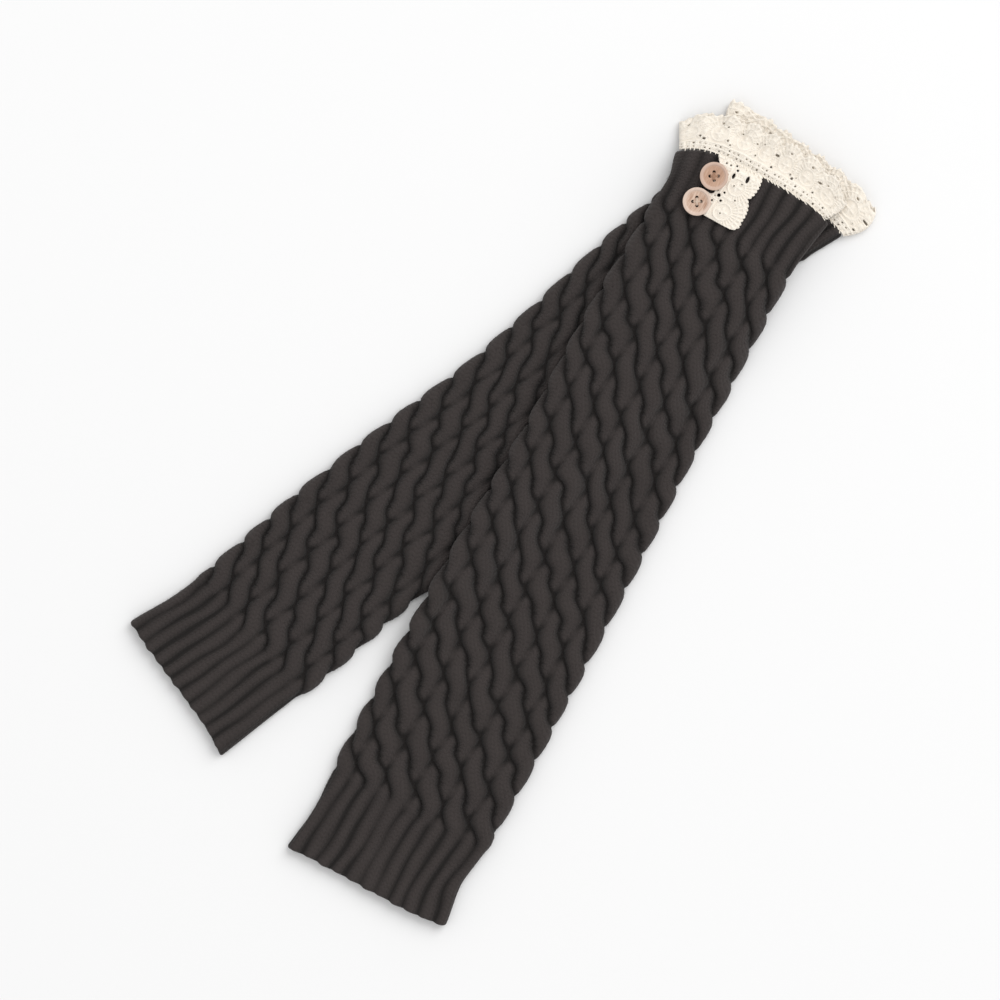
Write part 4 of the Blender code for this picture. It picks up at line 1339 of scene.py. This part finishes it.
def object_noise(start, scale, detail=2.0, stretch=(1, 1, 1)):
    inputs = {"Vector": object_place(start, stretch), "Scale": scale, "Detail": detail}
    return start.add_node("ShaderNodeTexNoise", {}, inputs)


def knit_material():
    """Charcoal wool: knitted legs in pairs, plied fibre and a soft bloom."""
    material, start, shader = new_material("Charcoal knit")
    wale, row = own_uv(start, "Stitches")
    leg = (2 * wale.part() - 1).size()
    loop = (math.pi * (row - 0.5 * leg)).sine().size()
    ply = (2 * math.pi * (3.0 * row + 2.0 * leg)).sine()
    fibre = object_noise(start, 2600, 3)
    height = 0.7 * loop + 0.5 * (math.pi * leg).sine() + 0.12 * ply + 0.55 * fibre
    # Painted shade: the Level attribute darkens the yarn in the creases between cables, and the loop term
    # darkens it between stitch loops; the fibre and patch noise vary the tone at random.
    tone = own_level(start).within(0.14, 0.97) * (0.84 + 0.10 * loop) * (0.7 + 0.6 * fibre)
    patch = object_noise(start, 60)
    feed(start, shader, Base_Color=(tone * (0.8 + 0.4 * patch)).mix(colours().knit_shade_and_dark_yarn, colours().knit),
         Normal=bumped(start, height, 0.00035, 0.9), Roughness=0.95, Sheen_Weight=0.07, Sheen_Roughness=0.6,
         Specular_IOR_Level=0.2)
    return material


def fuzz_material():
    """The same wool, in single fibres."""
    material, start, shader = new_material("Charcoal fibres")
    noise = object_noise(start, 900)
    low, high = (tuple(1.5 * part for part in tone) for tone in (colours().knit_shade_and_dark_yarn, colours().knit))
    feed(start, shader, Base_Color=noise.mix(low, high), Roughness=0.9, Specular_IOR_Level=0.2)
    return material


def lace_material():
    """Soft cream cotton, crocheted: fine slanting threads, and painted shade that darkens the cloth between
    its raised cords and on its underside.
    """
    material, start, shader = new_material("Cream lace")
    along, up = own_uv(start, "Threads")
    threads = (7.5 * along + 3.0 * (9.0 * up).sine()).sine() * (9.0 * up).sine()
    fibre = object_noise(start, 1800, 3)
    patch = object_noise(start, 90)
    # Painted shade: the Level attribute, high on the raised cords and halved on the underside, keeps the cords
    # light and darkens the cloth between them; fibre and patch noise add random tone.
    cords = own_level(start).within(0.0, 0.8)
    tone = 0.45 * cords + 0.2 * fibre + 0.35 * patch + 0.12 * threads + 0.05
    feed(start, shader, Base_Color=tone.mix(colours().lace_shade_and_dark_cotton, colours().lace),
         Normal=bumped(start, 0.6 * threads + 0.6 * fibre, 0.00016, 0.8), Roughness=0.88, Sheen_Weight=0.2,
         Sheen_Roughness=0.5, Specular_IOR_Level=0.25)
    return material


def thread_material(name, low, high):
    material, start, shader = new_material(name)
    noise = object_noise(start, 2200)
    feed(start, shader, Base_Color=noise.mix(low, high), Roughness=0.8, Specular_IOR_Level=0.3)
    return material


def wood_material(name, middle, tint):
    """Turned pale wood with a fine grain, lighter on its raised rim."""
    material, start, shader = new_material(name)
    ends = {0: object_place(start, (1, 1, 0)), 1: (*middle[:2], 0)}
    reach = start.add_node("ShaderNodeVectorMath", {"operation": "DISTANCE"}, ends, 1)
    grain = object_noise(start, 1, 4, stretch=(2600, 240, 600))
    rings = object_noise(start, 1, 2, stretch=(700, 90, 200))
    rim = reach.within(*WOOD_RIM)
    grained = 0.55 * grain + 0.45 * rings
    wood = tuple(part * share for part, share in zip(colours().wood, tint))
    pale = tuple(0.75 * part + 0.20 for part in wood)
    colour = grained.within(0.36, 0.6).mix(colours().wood_grain, wood)
    feed(start, shader, Base_Color=(0.55 * rim + 0.12).mix(colour, pale), Roughness=0.52 + 0.1 * grain,
         Normal=bumped(start, grain, 0.00008, 0.5), Specular_IOR_Level=0.35)
    return material


def floor_material():
    material, start, shader = new_material("Pale floor")
    feed(start, shader, Base_Color=(*colours().floor, 1.0), Roughness=0.9, Specular_IOR_Level=0.1)
    return material


# The pieces' operators.


class KnitTubes(bpy.types.Operator):
    """Knits both tubes, with their ribs, cables and stitches"""

    bl_idname = "leg_warmers.knit_tubes"
    bl_label = "Knit the tubes"

    def execute(self, context):
        material = knit_material()
        lower = knit_tube(lower_leg, material, "lower_leg_knit_tube")
        knit_tube(upper_leg, material, "upper_leg_knit_tube")
        return {"FINISHED"}


class KnitFuzz(bpy.types.Operator):
    """Adds loose fibres over both tubes"""

    bl_idname = "leg_warmers.knit_fuzz"
    bl_label = "Add fuzz"

    def execute(self, context):
        material = fuzz_material()
        for leg, seed in ((lower_leg, 11), (upper_leg, 23)):
            fuzz(leg, material, seed)
        return {"FINISHED"}


class LaceTrim(bpy.types.Operator):
    """Trims the tubes' tops with lace and lays the lace tab on the upper one"""

    bl_idname = "leg_warmers.lace_trim"
    bl_label = "Trim with lace"

    def execute(self, context):
        material = lace_material()
        lower = lace_ruffle(lower_leg, material, "lower_leg_lace_ruffle")
        lace_ruffle(upper_leg, material, "upper_leg_lace_ruffle")
        lace_tab(upper_leg, material, "upper_leg_lace_tab")
        return {"FINISHED"}


class LaceSewing(bpy.types.Operator):
    """Sews the lace to the tubes with overcast stitches"""

    bl_idname = "leg_warmers.lace_sewing"
    bl_label = "Sew the lace"

    def execute(self, context):
        material = thread_material("Cream thread", colours().lace_shade_and_dark_cotton, colours().lace)
        for leg in (lower_leg, upper_leg):
            name = leg.form.name + "_stitches"
            cords_piece(name, overcast_paths(leg), SEWING_RADIUS, material)
        return {"FINISHED"}


class WoodenButtons(bpy.types.Operator):
    """Turns both wooden buttons and sews them on with thread"""

    bl_idname = "leg_warmers.wooden_buttons"
    bl_label = "Add buttons"

    def execute(self, context):
        brown = thread_material("Brown thread", colours().wood_grain, colours().wood)
        tan = thread_material("Tan thread", colours().wood, colours().lace_shade_and_dark_cotton)
        for (name, along, across), tint, thread in zip(BUTTON_PLACES, WOOD_TINTS, (brown, tan)):
            button = turned_button(name + "_turned", along, across)
            material = wood_material("Wood of " + name, button_middle(along, across), tint)
            button.data.materials.clear()
            button.data.materials.append(material)
            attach(button, "root")
            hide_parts(name)
            cords_piece(name + "_thread", thread_paths(along, across), THREAD_RADIUS, thread)
        return {"FINISHED"}


class PaleStage(bpy.types.Operator):
    """Sets up the pale floor, the soft light and the camera over the pair"""

    bl_idname = "leg_warmers.pale_stage"
    bl_label = "Set the stage"

    def execute(self, context):
        scene = context.scene
        deselect_all()
        bpy.ops.mesh.primitive_plane_add(size=FLOOR_SIZE, location=(0, 0, -FLOOR_GAP))
        floor = context.object
        floor.name = "Floor"
        floor.data.materials.append(floor_material())
        add_camera(scene)
        add_lights(scene)
        scene.view_settings.view_transform = "Standard"
        scene.view_settings.look = "None"
        return {"FINISHED"}


def add_camera(scene):
    camera = bpy.data.objects.new("Camera", bpy.data.cameras.new("Camera"))
    scene.collection.objects.link(camera)
    camera.data.sensor_width = SENSOR
    camera.data.lens = SENSOR * CAMERA_HEIGHT / VIEW_WIDTH
    camera.location = (*VIEW_MIDDLE, CAMERA_HEIGHT)
    camera.rotation_euler = (0, 0, VIEW_TURN)
    scene.camera = camera


def add_lights(scene):
    """A big soft light from beyond the pair's tops, and a pale sky."""
    light = bpy.data.lights.new("Window", "AREA")
    light.shape, light.size, light.energy = "DISK", LIGHT_SIZE, LIGHT_POWER
    lamp = bpy.data.objects.new("Window", light)
    scene.collection.objects.link(lamp)
    rise, (side, up) = math.radians(LIGHT_RISE), LIGHT_HEADING
    towards = Vector((side * math.cos(rise), up * math.cos(rise), math.sin(rise)))
    lamp.location = towards * LIGHT_DISTANCE
    lamp.rotation_euler = towards.to_track_quat("Z", "Y").to_euler()
    scene.world = bpy.data.worlds.new("Pale sky")
    scene.world.use_nodes = True
    sky = scene.world.node_tree.nodes["Background"].inputs
    sky["Color"].default_value, sky["Strength"].default_value = (1, 1, 1, 1), SKY_STRENGTH


class LegWarmerPanel(bpy.types.Panel):
    """Lists the sizes, colours and steps of the leg warmers"""

    bl_idname = "VIEW3D_PT_leg_warmers"
    bl_label = "Leg warmers"
    bl_space_type = "VIEW_3D"
    bl_region_type = "UI"
    bl_category = "Leg warmers"

    def draw(self, context):
        for group in (context.scene.leg_warmer_sizes, context.scene.leg_warmer_colours):
            box = self.layout.box()
            for name in group.bl_rna.properties.keys():
                if name not in ("rna_type", "name"):
                    box.prop(group, name)
        for step in STEPS:
            self.layout.operator(step.bl_idname)


STEPS = (KnitTubes, KnitFuzz, LaceTrim, LaceSewing, WoodenButtons, PaleStage)
GROUPS = (LegWarmerSizes, LegWarmerColours)


def register():
    for cls in (*GROUPS, *STEPS, LegWarmerPanel):
        bpy.utils.register_class(cls)
    bpy.types.Scene.leg_warmer_sizes = bpy.props.PointerProperty(type=LegWarmerSizes)
    bpy.types.Scene.leg_warmer_colours = bpy.props.PointerProperty(type=LegWarmerColours)


def unregister():
    del bpy.types.Scene.leg_warmer_colours
    del bpy.types.Scene.leg_warmer_sizes
    for cls in reversed((*GROUPS, *STEPS, LegWarmerPanel)):
        bpy.utils.unregister_class(cls)


def main():
    """Builds the pair step by step."""
    register()
    steps = bpy.ops.leg_warmers
    for step in (steps.knit_tubes, steps.knit_fuzz, steps.lace_trim, steps.lace_sewing, steps.wooden_buttons,
                 steps.pale_stage):
        if step() != {"FINISHED"}:
            raise RuntimeError("a step did not finish")


if __name__ == "__main__":
    main()
